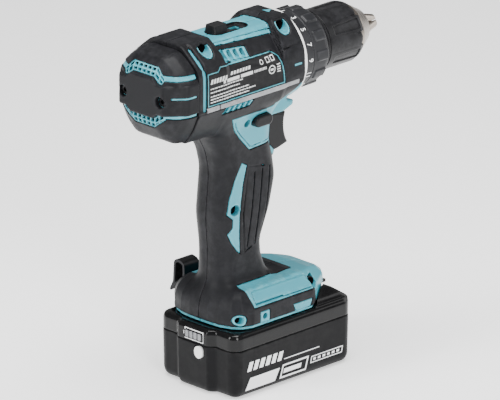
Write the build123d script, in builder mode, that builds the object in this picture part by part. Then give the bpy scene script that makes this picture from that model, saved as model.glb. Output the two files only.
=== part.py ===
from build123d import *
import os
from math import acos, cos, pi, sin, tan, radians

# Cordless drill, 18 V class.  +X is forward (chuck), +Y the drill's left, +Z up.
# The origin is on the underside of the battery, on the mid-plane.  Millimetres.

# ---- driving dimensions -------------------------------------------------------------
GAP = 0.4                  # clearance between parts that move past each other
RUN = 0.05                 # radial running clearance
SKIN = 1.5                 # thickness of the soft overmould
WALL = 2.2                 # housing wall under the overmould
AXIS_Z = 219.5             # height of the motor and chuck axis

# battery pack
PACK_REAR, PACK_FRONT, PACK_HALF = -57.0, 54.0, 37.0
PACK_SEAM, PACK_DECK = 34.0, 46.0
PACK_CORNER, PACK_WALL = 8.0, 2.2
BULGE_DEPTH, BULGE_HALF, BULGE_ROOT = 4.0, 14.0, 18.0
RAIL_HALF, RAIL_TOP, RAIL_REAR, RAIL_FRONT = 20.0, 54.0, -40.0, 40.0
RAIL_SLOT_LOW, RAIL_SLOT_HIGH, RAIL_SLOT_DEPTH = 48.4, 51.2, 3.0
HUMP_TOP, HUMP_HALF = 55.0, 31.0
CELL_R, CELL_LENGTH, CELL_PITCH = 9.2, 65.0, 19.2

# foot of the handle
FOOT_LOW, FOOT_SIDE_TOP, FOOT_TOP = PACK_DECK + 0.3, 61.0, 71.0
FOOT_PLAN = [(-55, 9), (-52.5, 23), (-45, 32.5), (-34, 35), (18, 35), (43, 19), (51.5, 8)]
FOOT_CROWN = [(-47, 9), (-45, 19), (-39, 24), (-28, 25), (14, 25), (38, 15), (46, 6)]

# handle: height, rear x, front x, half width, corner radius
GRIP_STATIONS = [
    (66, -50, 12, 22, 14), (76, -49, 4, 19, 14), (86, -47, -5, 16, 12), (98, -47, -6, 15.5, 12),
    (120, -48.5, 2, 17, 13), (140, -46, 7, 17, 13), (152, -45, 5, 16.5, 12), (166, -49, 1, 17, 11),
    (183, -58, 1, 18.5, 11), (200, -67, 8, 25, 11),
]
NOSE_SIDE = [(-12, 182.5), (11, 182.5), (19.5, 185.5), (20, 189), (13.7, 189.2), (13.7, 201), (-12, 201)]
NOSE_HALF = 15.0

# head sections: half outlines as (y, z above the axis), from the top edge to the bottom
SHOULDER = [(14, 31.7), (20, 27.5), (30, 18.5), (31.5, 14), (31.5, -11), (24, -27), (17, -35.5)]
PANEL_REAR = [(13.5, 28), (17.5, 25.6), (28, 18), (31.5, 12.5), (31.5, -11), (25, -24), (17, -34)]
PANEL_FRONT = [(13.5, 28), (17.5, 23), (28, 13.5), (31, 10), (31.5, -10), (26, -20), (15, -27)]
COLLAR = [(14, 31), (20, 26.5), (28, 16), (31, 10), (31.5, -8), (26, -18), (15, -26.5)]
HEAD_REAR, SHOULDER_END, PANEL_START, PANEL_END, COLLAR_START, HEAD_FRONT = -84, -57, -53, -6, -2, 14

# rear cover sections
COVER_ROOT = [(13.5, 28.5), (19, 25.5), (29, 17), (31.3, 12), (31.3, -11), (24, -27), (17, -35)]
COVER_MID = [(13.5, 28), (19, 25), (28.5, 16.5), (30.8, 12), (30.8, -11), (23.5, -26), (16, -34)]
COVER_REAR = [(12.5, 26), (17.5, 23), (26.5, 14.5), (28.5, 10), (28.5, -10), (22, -23), (14, -30)]
COVER_END = [(10, 17), (15, 14.5), (20, 9), (21.5, 6), (21.5, -7), (17, -14), (10, -18)]
COVER_X = [-84.0, -92.0, -99.0, -105.5]
BAND_REAR, BAND_HALF_Z, BAND_HALF_Y = -108.0, 9.5, 21.0
COVER_SCREW_Y, COVER_SCREW_Z = 17.5, AXIS_Z - 1.0

# motor
BRUSH_PLATE_X = -94.0
CAN_REAR, CAN_FRONT, CAN_R, CAN_WALL = -84.0, -42.0, 19.5, 1.6
MAGNET_T, ARMATURE_R, SHAFT_R = 3.0, 14.2, 2.5
MOTOR_BEARING_R, MOTOR_BEARING_W = 8.0, 5.0
REAR_BEARING_X = -101.0

# two-stage planetary gearbox
CASE_REAR, CASE_FRONT, CASE_R, CASE_BORE = -34.5, 13.9, 23.6, 20.8
STAGE1 = {"sun": 12, "planet": 18, "ring": 48, "module": 0.75, "rear": -31.0, "width": 7.0}
STAGE2 = {"sun": 15, "planet": 15, "ring": 45, "module": 0.80, "rear": -19.5, "width": 7.0}
CARRIER_R, CARRIER_T, PLANET_PIN_R = 16.0, 3.0, 1.8
PRESSURE_ANGLE = radians(20)
ADDENDUM, DEDENDUM, BACKLASH = 0.8, 1.2, 0.16
SPINDLE_R, SPINDLE_END = 6.0, 56.0
CASE_NOSE_R, CASE_NOSE_END = 15.0, 41.5

# torque ring
RING_LINE_END, CLUTCH_REAR, CLUTCH_FRONT, CLUTCH_R = 17.0, 17.4, 42.6, 27.0
RING_LINE_R = 30.0
CLUTCH_PADS = 12

# chuck
SLEEVE_REAR, SLEEVE_FRONT, SLEEVE_R, SLEEVE_BORE = 43.2, 81.0, 21.2, 19.3
CHUCK_REAR, CHUCK_NOSE, CHUCK_NOSE_R, CHUCK_R = 43.4, 94.0, 12.0, 19.25
BIT_BORE_R, BIT_BORE_REAR = 6.8, 60.0
JAW_ANGLE, JAW_R, JAW_LENGTH, JAW_TIP_X, JAW_TIP_R = 16.0, 3.2, 28.0, 108.0, 1.5
JAW_SPLIT = 0.25           # half the gap between closed jaws

# controls
TRIGGER_HALF, TRIGGER_LOW, TRIGGER_HIGH = 9.0, 155.5, 180.0
LEVER_X, LEVER_Z, LEVER_LENGTH, LEVER_HEIGHT = -17.0, 185.5, 16.0, 8.0
LEVER_RIGHT, LEVER_LEFT = -24.5, 20.0
SELECTOR_REAR, SELECTOR_FRONT, SELECTOR_HALF = -46.0, -12.0, 7.0
SELECTOR_FLOOR = AXIS_Z + 26.0
TOP_PANEL_Z = AXIS_Z + 28.0

# screws that hold the two housing halves: (x, z)
HOUSING_SCREWS = [(-68, AXIS_Z + 27), (4, AXIS_Z + 26), (-28.5, 185.5), (-36.5, 125), (-46.5, 53.5), (23, 62)]
SCREW_R, SCREW_HEAD_R, SCREW_WELL_R, SCREW_SEAT_Y = 1.9, 3.4, 4.2, 7.0
LENS_PLANE = Plane(origin=(15.4, 0, 184.1), x_dir=(0, 1, 0), z_dir=(0.33, 0, -0.944))
HOOK_SCREW_X, HOOK_SCREW_Z, HOOK_BORE_R = -27.0, 53.0, 2.0

os.makedirs("parts", exist_ok=True)
FINISHED = []


def finish(builder, label):
    """Name a finished piece and write it."""
    builder.part.label = label
    export_step(builder.part, f"parts/{label}.step")
    FINISHED.append(label)


def across(x, z=AXIS_Z):
    """Plane square to the drill's axis: local x is +Y, local y is +Z."""
    return Plane(origin=(x, 0, z), x_dir=(0, 1, 0), z_dir=(1, 0, 0))


def side(y):
    """Upright plane along the drill at a given y: local x is +X, local y is +Z."""
    return Plane(origin=(0, y, 0), x_dir=(1, 0, 0), z_dir=(0, -1, 0))


def mirrored(half):
    """Close a half outline by mirroring it."""
    return half + [(-u, v) for u, v in reversed(half)]


def mirrored_plan(half):
    """Close a half outline of (x, y) points seen from above."""
    return half + [(u, -v) for u, v in reversed(half)]


def tube(x_rear, x_front, outer, inner=0.0):
    """Tube or rod along the drill's axis, as a private solid for use in other pieces."""
    with BuildPart() as piece:
        with BuildSketch(across(x_rear)):
            Circle(outer)
            if inner > 0:
                Circle(inner, mode=Mode.SUBTRACT)
        extrude(amount=x_front - x_rear)
    return piece.part


def block(x0, x1, y0, y1, z0, z1):
    """Box between two corners."""
    with BuildPart() as piece:
        with BuildSketch(Plane.XY.offset(z0)):
            with Locations(((x0 + x1) / 2, (y0 + y1) / 2)):
                Rectangle(x1 - x0, y1 - y0)
        extrude(amount=z1 - z0)
    return piece.part


def prism(outline, y0, y1):
    """Side outline of (x, z) points extruded from y0 to y1."""
    with BuildPart() as piece:
        with BuildSketch(side(y0)):
            with BuildLine():
                Polyline(*outline, close=True)
            make_face()
        extrude(amount=y0 - y1)
    return piece.part


# ---- body forms: the same shape at several depths below the surface --------------------
def head_loft(stations, inset):
    with BuildPart() as piece:
        for x, half in stations:
            with BuildSketch(across(x)):
                with BuildLine():
                    Polyline(*mirrored(half), close=True)
                make_face()
                if inset > 0:
                    offset(amount=-inset, kind=Kind.INTERSECTION, mode=Mode.REPLACE)
        loft(ruled=True)
    return piece.part


def head_form(inset):
    return head_loft([(HEAD_REAR, SHOULDER), (SHOULDER_END, SHOULDER), (PANEL_START, PANEL_REAR),
                      (PANEL_END, PANEL_FRONT), (COLLAR_START, COLLAR), (HEAD_FRONT, COLLAR)], inset)


def cover_form(inset):
    outlines = [COVER_ROOT, COVER_MID, COVER_REAR, COVER_END]
    stations = [(x + (inset if x == COVER_X[-1] else 0), half) for x, half in zip(COVER_X, outlines)]
    return head_loft(list(reversed(stations)), inset)


def grip_form(inset):
    with BuildPart() as piece:
        for z, rear, front, half, corner in GRIP_STATIONS:
            with BuildSketch(Plane.XY.offset(z)):
                with Locations(((rear + front) / 2, 0)):
                    RectangleRounded(front - rear - 2 * inset, 2 * (half - inset), corner - inset)
        loft(ruled=True)
    return piece.part


def nose_form(inset):
    with BuildPart() as piece:
        with BuildSketch(side(-(NOSE_HALF - inset))):
            with BuildLine():
                Polyline(*NOSE_SIDE, close=True)
            make_face()
            if inset > 0:
                offset(amount=-inset, kind=Kind.INTERSECTION, mode=Mode.REPLACE)
        extrude(amount=-2 * (NOSE_HALF - inset))
    return piece.part


def foot_form(inset):
    with BuildPart() as piece:
        heights = [(FOOT_LOW, FOOT_PLAN), (FOOT_SIDE_TOP, FOOT_PLAN), (FOOT_TOP - inset, FOOT_CROWN)]
        for z, half in heights:
            with BuildSketch(Plane.XY.offset(z)):
                with BuildLine():
                    Polyline(*mirrored_plan(half), close=True)
                make_face()
                if inset > 0:
                    offset(amount=-inset, kind=Kind.INTERSECTION, mode=Mode.REPLACE)
        loft(ruled=True)
        with BuildSketch(side(-PACK_HALF)):
            with BuildLine():
                Polyline((6, FOOT_TOP - inset), (60, 55.5 - inset), (60, 90), (6, 90), close=True)
            make_face()
        extrude(amount=-2 * PACK_HALF, mode=Mode.SUBTRACT)
    return piece.part


def body_form(inset):
    with BuildPart() as piece:
        add(head_form(inset))
        add(grip_form(inset))
        add(nose_form(inset))
        add(foot_form(inset))
    return piece.part


OUTER = body_form(0)
UNDER = body_form(SKIN)
HOOK_BOSS_Y, HOOK_BOSS_HALF = 23.0, 4.2
POCKET_SHELL = block(HOOK_SCREW_X - 6, HOOK_SCREW_X + 6, -40, 40, 40, HOOK_SCREW_Z + 6)
POCKET_SHELL = POCKET_SHELL + block(-44, 70, -23, 23, 40, RAIL_TOP + 2.8)
POCKET_SHELL = POCKET_SHELL + block(-60, 70, -40, 40, 40, FOOT_LOW + 2.2)
CAVITY = body_form(SKIN + WALL) - POCKET_SHELL
RIGHT_HALF = block(-120, 70, -60, 0, 40, 260)
LEFT_HALF = block(-120, 70, 0, 60, 40, 260)

# side outlines of the places where the hard housing shows, as (x, z)
TRIGGER_PANEL = [(-48, 194), (-42, 184), (-34, 174), (-24, 165), (-4, 167), (3, 153), (6, 155),
                 (1.5, 164), (1.5, 181), (24, 181), (24, 196), (4, 196)]
GRIP_INSERT = [(-40, 157), (-34, 154), (-37, 146), (-40, 134), (-31, 126), (-38, 118), (-36, 92),
               (-42, 97), (-49, 104), (-45, 113), (-51, 118), (-48, 132), (-45, 144)]
FOOT_WINDOW = [(-1, 55), (18, 57), (14, 48.5), (2, 47.5)]
FOOT_CHAMFER = [(-33, 59.5), (-30, 73), (16, 73), (22, 59.5)]


def hard_regions(sign):
    """Everything of the hard housing that reaches the outside surface, on one side."""
    with BuildPart() as piece:
        for outline in (TRIGGER_PANEL, GRIP_INSERT, FOOT_WINDOW):
            add(prism(outline, min(0, sign * 60), max(0, sign * 60)))
        add(block(PANEL_START, PANEL_END, min(0, 17 * sign), max(0, 17 * sign), AXIS_Z + 20, 260))
        add(prism(FOOT_CHAMFER, min(20 * sign, 60 * sign), max(20 * sign, 60 * sign)))
        add(block(-60, 70, min(0, 60 * sign), max(0, 60 * sign), 40, 49))
        add(block(HOOK_SCREW_X - HOOK_BOSS_HALF, HOOK_SCREW_X + HOOK_BOSS_HALF, min(30 * sign, 60 * sign),
                  max(30 * sign, 60 * sign), 40, HOOK_SCREW_Z + HOOK_BOSS_HALF))
        add(block(26, 70, min(0, 60 * sign), max(0, 60 * sign), 40, 80))
        for x, z in HOUSING_SCREWS:
            with BuildSketch(side(0)):
                with Locations((x, z)):
                    Circle(SCREW_WELL_R + 1)
            extrude(amount=-60 * sign)
    return piece.part


def shared_cuts():
    """Openings through the housing that both halves and their skins share."""
    with BuildPart() as piece:
        add(block(-6.5, 30, -TRIGGER_HALF - GAP, TRIGGER_HALF + GAP, TRIGGER_LOW - GAP, TRIGGER_HIGH + GAP))
        with BuildSketch(side(-60)):
            with Locations((LEVER_X, LEVER_Z)):
                SlotOverall(LEVER_LENGTH + 2 * GAP, LEVER_HEIGHT + 2 * GAP)
        extrude(amount=-120)
        add(block(SELECTOR_REAR, SELECTOR_FRONT, -SELECTOR_HALF, SELECTOR_HALF, SELECTOR_FLOOR, 260))
        add(block(-41, -17, -4.5, 4.5, SELECTOR_FLOOR - 4, 260))
        add(tube(CASE_REAR - 0.5, HEAD_FRONT + 1, CASE_R + 0.05))
        add(block(RAIL_REAR - 1.5, 70, -RAIL_HALF - 0.6, RAIL_HALF + 0.6, 40, RAIL_TOP + 0.6))
        add(block(40, 70, -17, 17, 40, RAIL_TOP + 0.6))
        for x, z in HOUSING_SCREWS:
            with BuildSketch(side(0)):
                with Locations((x, z)):
                    Circle(SCREW_R)
            extrude(amount=60)
        for sign in (-1, 1):
            with BuildSketch(side(sign * HOOK_BOSS_Y)):
                with Locations((HOOK_SCREW_X, HOOK_SCREW_Z)):
                    Circle(HOOK_BORE_R)
            extrude(amount=-sign * 30)
        with BuildSketch(LENS_PLANE.offset(-2.6)):
            RectangleRounded(9, 5, 1.5)
        extrude(amount=6)
    return piece.part


# ---- housing halves, soft overmould, rear cover ------------------------------------------
CUTS = shared_cuts()
TERMINAL_ROOM = block(RAIL_REAR + 2, RAIL_REAR + 26, -17, 17, RAIL_TOP + 0.6, RAIL_TOP + 4.5)


def foot_rail(sign):
    """Ridge inside the foot that runs in the battery's side groove."""
    near, far = sign * (RAIL_HALF - RAIL_SLOT_DEPTH + GAP), sign * (RAIL_HALF + 1.0)
    return block(RAIL_REAR + 2, RAIL_FRONT - 2, min(near, far), max(near, far),
                 RAIL_SLOT_LOW + GAP, RAIL_SLOT_HIGH - GAP)


def side_vents(sign):
    """Cooling slots: four over the gearbox and five under the rating plate."""
    with BuildPart() as piece:
        for row_x, row_z, count, pitch in ((-56, AXIS_Z + 21, 4, 5.2), (-59, AXIS_Z - 14.5, 5, 5.0)):
            for index in range(count):
                with BuildSketch(side(sign * 18)):
                    with Locations((row_x + index * pitch, row_z)):
                        Rectangle(2.6, 5.0)
                extrude(amount=-sign * 20)
    return piece.part


def motor_cradle(sign):
    """Two ribs that hold the motor can and close against the gear case."""
    with BuildPart() as piece:
        for x in (CAN_REAR + 15, CAN_FRONT - 4):
            add(tube(x, x + 3, 28.0, CAN_R + RUN))
        add(block(-120, 70, min(0, -sign * 60), max(0, -sign * 60), 40, 260), mode=Mode.SUBTRACT)
    return piece.part


def housing_half(sign):
    """Hard shell of one side: thin under the soft skin, full thickness where it shows."""
    shell = (UNDER + (OUTER & hard_regions(sign))) & (RIGHT_HALF if sign < 0 else LEFT_HALF)
    pillars = []
    for x, z in HOUSING_SCREWS:
        with BuildPart() as pillar:
            with BuildSketch(side(0)):
                with Locations((x, z)):
                    Circle(SCREW_WELL_R + 1.2)
            extrude(amount=-sign * 36)
        pillars.append(pillar.part)
    inside = CAVITY
    for pillar in pillars:
        inside = inside - pillar
    return shell - inside + (motor_cradle(sign) & OUTER)


right_shell = housing_half(-1)
left_shell = housing_half(1)

with BuildPart() as right_housing:
    add(right_shell)
    add(CUTS, mode=Mode.SUBTRACT)
    with BuildSketch(side(-SCREW_SEAT_Y)):
        with Locations(*HOUSING_SCREWS):
            Circle(SCREW_WELL_R)
    extrude(amount=60, mode=Mode.SUBTRACT)
    with BuildSketch(side(0)):
        with Locations(*HOUSING_SCREWS):
            Circle(SCREW_R)
    extrude(amount=10, mode=Mode.SUBTRACT)
    add(side_vents(-1), mode=Mode.SUBTRACT)
    add(TERMINAL_ROOM, mode=Mode.SUBTRACT)
    add(foot_rail(-1))
finish(right_housing, "right_housing")

with BuildPart() as left_housing:
    add(left_shell)
    add(CUTS, mode=Mode.SUBTRACT)
    with BuildSketch(side(0)):
        with Locations(*HOUSING_SCREWS):
            Circle(SCREW_R)
    extrude(amount=-10, mode=Mode.SUBTRACT)
    add(side_vents(1), mode=Mode.SUBTRACT)
    add(TERMINAL_ROOM, mode=Mode.SUBTRACT)
    add(foot_rail(1))
finish(left_housing, "left_housing")

SKIN_FORM = OUTER - UNDER
for sign, label in ((-1, "right_overmould"), (1, "left_overmould")):
    skin = (SKIN_FORM & (RIGHT_HALF if sign < 0 else LEFT_HALF)) - hard_regions(sign)
    vents = side_vents(sign)
    plate_room = block(-76, -4, min(29.5 * sign, 60 * sign), max(29.5 * sign, 60 * sign),
                       AXIS_Z - 9, AXIS_Z + 11.5)
    with BuildPart() as overmould:
        add(skin)
        add(CUTS, mode=Mode.SUBTRACT)
        add(vents, mode=Mode.SUBTRACT)
        if sign < 0:
            add(plate_room, mode=Mode.SUBTRACT)
    finish(overmould, label)

plate_blank = (OUTER - UNDER) & block(-71.5, -4.3, -60, -29.5, AXIS_Z - 8.7, AXIS_Z + 11.2)
with BuildPart() as rating_plate:
    add(plate_blank)
finish(rating_plate, "rating_plate")

COVER_OUTER, COVER_UNDER, COVER_CAVITY = cover_form(0), cover_form(SKIN), cover_form(SKIN + WALL)
COVER_BACK = COVER_X[-1]
GRID_ROWS, GRID_PITCH, GRID_HALF_Y, GRID_HALF_Z = (11.3, 15.0), 4.6, 1.6, 1.3


def cover_grids():
    """Rows of square air holes above and below the middle band."""
    with BuildPart() as piece:
        for row_z in (-GRID_ROWS[1], -GRID_ROWS[0], GRID_ROWS[0], GRID_ROWS[1]):
            z = AXIS_Z + row_z
            for index in range(5):
                y = (index - 2) * GRID_PITCH
                add(block(COVER_BACK - 4, COVER_BACK + 12, y - GRID_HALF_Y, y + GRID_HALF_Y,
                          z - GRID_HALF_Z, z + GRID_HALF_Z))
    return piece.part


def cover_band(inset):
    """Middle band of the cover that stands furthest back."""
    with BuildPart() as piece:
        with BuildSketch(across(BAND_REAR + inset)):
            Rectangle(2 * (BAND_HALF_Y - inset), 2 * (BAND_HALF_Z - inset))
        with BuildSketch(across(-97)):
            Rectangle(2 * (28.6 - inset), 2 * (BAND_HALF_Z - inset))
        loft(ruled=True)
    return piece.part


GRIDS = cover_grids()
BAND = cover_band(0)
vent_frames = [block(COVER_BACK - 4, -101, -14, 14, AXIS_Z + low, AXIS_Z + low + 8.0) for low in (9.3, -17.3)]
side_strips = [block(-103, HEAD_REAR, y0, y1, AXIS_Z + low, AXIS_Z + low + 2.4)
               for y0, y1 in ((-60, -20), (20, 60)) for low in (9.6, -12.0)]
cover_shell = COVER_UNDER - COVER_CAVITY
for shown in vent_frames + side_strips:
    cover_shell = cover_shell + ((COVER_OUTER - COVER_CAVITY) & shown)
bearing_seat = tube(COVER_BACK + 2, COVER_BACK + 10, 10.5, MOTOR_BEARING_R)
with BuildPart() as rear_cover:
    add(cover_shell)
    add(bearing_seat)
    with BuildSketch(across(COVER_BACK + 3, COVER_SCREW_Z)):
        with Locations((-COVER_SCREW_Y, 0), (COVER_SCREW_Y, 0)):
            Circle(5.0)
    extrude(amount=BRUSH_PLATE_X - COVER_BACK - 3)
    with BuildSketch(across(COVER_BACK - 4, COVER_SCREW_Z)):
        with Locations((-COVER_SCREW_Y, 0), (COVER_SCREW_Y, 0)):
            Circle(SCREW_R)
    extrude(amount=20, mode=Mode.SUBTRACT)
    with BuildSketch(across(COVER_BACK - 4, COVER_SCREW_Z)):
        with Locations((-COVER_SCREW_Y, 0), (COVER_SCREW_Y, 0)):
            Circle(SCREW_HEAD_R + 0.2)
    extrude(amount=7.4, mode=Mode.SUBTRACT)
    add(GRIDS, mode=Mode.SUBTRACT)
    add(tube(COVER_BACK - 4, COVER_BACK + 3, MOTOR_BEARING_R - 2), mode=Mode.SUBTRACT)
finish(rear_cover, "rear_cover")

band_outer = BAND - COVER_UNDER
cover_skin = (COVER_OUTER - COVER_UNDER) + band_outer
with BuildPart() as rear_cover_overmould:
    add(cover_skin)
    for cut in vent_frames + side_strips:
        add(cut, mode=Mode.SUBTRACT)
    for y in (-COVER_SCREW_Y, COVER_SCREW_Y):
        with BuildSketch(across(BAND_REAR - 1, COVER_SCREW_Z)):
            with Locations((y, 0)):
                Circle(SCREW_WELL_R)
        extrude(amount=20, mode=Mode.SUBTRACT)
    add(tube(COVER_BACK - 4, COVER_BACK + 3, MOTOR_BEARING_R - 2), mode=Mode.SUBTRACT)
finish(rear_cover_overmould, "rear_cover_overmould")


def screw(length):
    """Pan-head screw along local -Z with its head above z = 0 and a star recess."""
    with BuildPart() as piece:
        with BuildSketch(Plane.XY):
            Circle(SCREW_HEAD_R)
        extrude(amount=2.4)
        with BuildSketch(Plane.XY):
            Circle(SCREW_R - 0.05)
        extrude(amount=-length)
        with BuildSketch(Plane.XY.offset(2.4)):
            RegularPolygon(1.9, 6)
        extrude(amount=-1.4, mode=Mode.SUBTRACT)
    return piece.part


HOUSING_SCREW = screw(15.0)
with BuildPart() as housing_screws:
    for x, z in HOUSING_SCREWS:
        add(Plane(origin=(x, -SCREW_SEAT_Y, z), x_dir=(1, 0, 0), z_dir=(0, -1, 0)) * HOUSING_SCREW)
finish(housing_screws, "housing_screws")

COVER_SCREW = screw(12.0)
with BuildPart() as rear_cover_screws:
    for y in (-COVER_SCREW_Y, COVER_SCREW_Y):
        seat = Plane(origin=(COVER_BACK + 3.4, y, COVER_SCREW_Z), x_dir=(0, 1, 0), z_dir=(-1, 0, 0))
        add(seat * COVER_SCREW)
finish(rear_cover_screws, "rear_cover_screws")

with BuildPart() as indicator_ring:
    add(tube(HEAD_FRONT + 0.1, RING_LINE_END, RING_LINE_R, CASE_NOSE_R))
finish(indicator_ring, "indicator_ring")

# ---- motor --------------------------------------------------------------------------------
with BuildPart() as motor_can:
    add(tube(CAN_REAR, CAN_FRONT, CAN_R, CAN_R - CAN_WALL))
    add(tube(CAN_FRONT - 1.5, CAN_FRONT, CAN_R, 12))
finish(motor_can, "motor_can")

with BuildPart() as magnets:
    for centre in (90, 270):
        with BuildSketch(across(CAN_REAR + 4)):
            Circle(CAN_R - CAN_WALL)
            Circle(CAN_R - CAN_WALL - MAGNET_T, mode=Mode.SUBTRACT)
            with Locations((0, 20 if centre == 90 else -20)):
                Rectangle(26, 26, mode=Mode.INTERSECT)
        extrude(amount=30)
finish(magnets, "magnets")

ARMATURE_REAR, ARMATURE_FRONT, ARMATURE_SLOTS = CAN_REAR + 7, CAN_FRONT - 9, 10
with BuildPart() as armature_core:
    add(tube(ARMATURE_REAR, ARMATURE_FRONT, ARMATURE_R, SHAFT_R))
    for index in range(ARMATURE_SLOTS):
        turn = (index + 0.5) * 360 / ARMATURE_SLOTS
        with BuildSketch(across(ARMATURE_REAR)):
            with Locations(Location((0, 0, 0), (0, 0, turn))):
                with Locations((9.6, 0)):
                    SlotOverall(6.0, 3.2)
                with Locations((13.5, 0)):
                    Rectangle(3, 1.4)
        extrude(amount=ARMATURE_FRONT - ARMATURE_REAR, mode=Mode.SUBTRACT)
finish(armature_core, "armature_core")

with BuildPart() as windings:
    add(tube(ARMATURE_REAR - 4.5, ARMATURE_REAR, 13.2, 5.0))
    add(tube(ARMATURE_FRONT, ARMATURE_FRONT + 3.5, 13.2, 5.0))
    for index in range(ARMATURE_SLOTS):
        turn = (index + 0.5) * 360 / ARMATURE_SLOTS
        with BuildSketch(across(ARMATURE_REAR)):
            with Locations(Location((0, 0, 0), (0, 0, turn))):
                with Locations((9.6, 0)):
                    SlotOverall(5.6, 2.8)
        extrude(amount=ARMATURE_FRONT - ARMATURE_REAR)
finish(windings, "windings")

COMMUTATOR_REAR, COMMUTATOR_R = -95.0, 8.0
with BuildPart() as commutator:
    add(tube(COMMUTATOR_REAR, ARMATURE_REAR - 5, COMMUTATOR_R, SHAFT_R))
    for index in range(ARMATURE_SLOTS):
        with BuildSketch(across(COMMUTATOR_REAR)):
            with Locations(Location((0, 0, 0), (0, 0, index * 360 / ARMATURE_SLOTS))):
                with Locations((COMMUTATOR_R, 0)):
                    Rectangle(1.6, 0.6)
        extrude(amount=ARMATURE_REAR - 5 - COMMUTATOR_REAR, mode=Mode.SUBTRACT)
finish(commutator, "commutator")

SHAFT_REAR, PINION_FRONT = -100.5, STAGE1["rear"] + STAGE1["width"]
with BuildPart() as motor_shaft:
    add(tube(SHAFT_REAR, STAGE1["rear"] - 0.5, SHAFT_R))
finish(motor_shaft, "motor_shaft")

FAN_BLADES = 12
with BuildPart() as cooling_fan:
    add(tube(CAN_FRONT - 4.6, CAN_FRONT - 2.4, 6.0, SHAFT_R))
    add(tube(CAN_FRONT - 3.0, CAN_FRONT - 2.0, 15.5, SHAFT_R))
    for index in range(FAN_BLADES):
        with BuildSketch(across(CAN_FRONT - 5.2)):
            with Locations(Location((0, 0, 0), (0, 0, index * 360 / FAN_BLADES))):
                with Locations((10.5, 0)):
                    Rectangle(9.6, 0.9, rotation=12)
        extrude(amount=2.3)
finish(cooling_fan, "cooling_fan")

with BuildPart() as motor_bearings:
    add(tube(REAR_BEARING_X, REAR_BEARING_X + MOTOR_BEARING_W, MOTOR_BEARING_R, SHAFT_R + RUN))
    add(tube(CASE_REAR - MOTOR_BEARING_W, CASE_REAR, MOTOR_BEARING_R, SHAFT_R + RUN))
finish(motor_bearings, "motor_bearings")

BRUSH_X = COMMUTATOR_REAR + 6.5
with BuildPart() as brush_holder:
    add(tube(BRUSH_PLATE_X, BRUSH_PLATE_X + 1.6, 21.5, 9.5))
    for sign in (-1, 1):
        z_near, z_far = AXIS_Z + sign * 9.5, AXIS_Z + sign * 20.0
        add(block(BRUSH_PLATE_X + 1.6, BRUSH_X + 3.6, -4.0, 4.0, min(z_near, z_far), max(z_near, z_far)))
        add(block(BRUSH_X - 2.5, BRUSH_X + 2.5, -2.6, 2.6, min(z_near, z_far) - 1, max(z_near, z_far) + 1),
            mode=Mode.SUBTRACT)
    with BuildSketch(across(BRUSH_PLATE_X, COVER_SCREW_Z)):
        with Locations((-COVER_SCREW_Y, 0), (COVER_SCREW_Y, 0)):
            Circle(3.8)
    extrude(amount=8.5)
    with BuildSketch(across(BRUSH_PLATE_X, COVER_SCREW_Z)):
        with Locations((-COVER_SCREW_Y, 0), (COVER_SCREW_Y, 0)):
            Circle(SCREW_R)
    extrude(amount=9, mode=Mode.SUBTRACT)
finish(brush_holder, "brush_holder")

with BuildPart() as brushes:
    for sign in (-1, 1):
        z_near, z_far = AXIS_Z + sign * 7.0, AXIS_Z + sign * 18.0
        add(block(BRUSH_X - 2.4, BRUSH_X + 2.4, -2.5, 2.5, min(z_near, z_far), max(z_near, z_far)))
    add(tube(COMMUTATOR_REAR - 2, COMMUTATOR_REAR + 15, COMMUTATOR_R + RUN), mode=Mode.SUBTRACT)
finish(brushes, "brushes")


# ---- gears ----------------------------------------------------------------------------------
def involute(angle):
    return tan(angle) - angle


def gear_outline(teeth, module, outer_r, inner_r, thickness, tooth_at_zero):
    """Polygonal involute outline; thickness is the tooth's share of the pitch at the pitch circle."""
    pitch_r = teeth * module / 2
    base_r = pitch_r * cos(PRESSURE_ANGLE)

    def half_angle(radius):
        swing = involute(acos(min(1.0, base_r / radius)))
        return pi * thickness / teeth + involute(PRESSURE_ANGLE) - swing

    radii = [inner_r, max(inner_r, base_r), pitch_r, (pitch_r + outer_r) / 2, outer_r]
    radii = sorted(set(radii))
    points = []
    for index in range(teeth):
        centre = 2 * pi * (index + (0 if tooth_at_zero else 0.5)) / teeth
        flank = [(r, half_angle(r)) for r in radii]
        flank = [(r, min(a, 0.46 * 2 * pi / teeth)) for r, a in flank]
        points += [(r * cos(centre - a), r * sin(centre - a)) for r, a in flank]
        points += [(r * cos(centre + a), r * sin(centre + a)) for r, a in reversed(flank)]
    return points


def external_gear(stage, kind, tooth_at_zero):
    """Outline of a sun or planet, centred on its own axis."""
    teeth, module = stage[kind], stage["module"]
    pitch_r = teeth * module / 2
    thickness = (1 - BACKLASH) / 2
    return gear_outline(teeth, module, pitch_r + ADDENDUM * module, pitch_r - DEDENDUM * module,
                        thickness, tooth_at_zero)


def ring_space(stage, tooth_at_zero):
    """Outline of the hole in a ring gear: an external gear whose teeth are the ring's gaps."""
    teeth, module = stage["ring"], stage["module"]
    pitch_r = teeth * module / 2
    thickness = (1 + BACKLASH) / 2
    return gear_outline(teeth, module, pitch_r + DEDENDUM * module, pitch_r - ADDENDUM * module,
                        thickness, tooth_at_zero)


def gear_solid(outline, x_rear, width, centre=(0, 0)):
    with BuildPart() as piece:
        with BuildSketch(across(x_rear)):
            with BuildLine():
                Polyline(*[(centre[0] + u, centre[1] + v) for u, v in outline], close=True)
            make_face()
        extrude(amount=width)
    return piece.part


def planet_seats(stage):
    radius = (stage["sun"] + stage["planet"]) * stage["module"] / 2
    return [(radius * cos(2 * pi * k / 3), radius * sin(2 * pi * k / 3)) for k in range(3)]


with BuildPart() as motor_pinion:
    add(gear_solid(external_gear(STAGE1, "sun", True), STAGE1["rear"] - 0.5, STAGE1["width"] + 0.5))
finish(motor_pinion, "motor_pinion")

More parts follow.
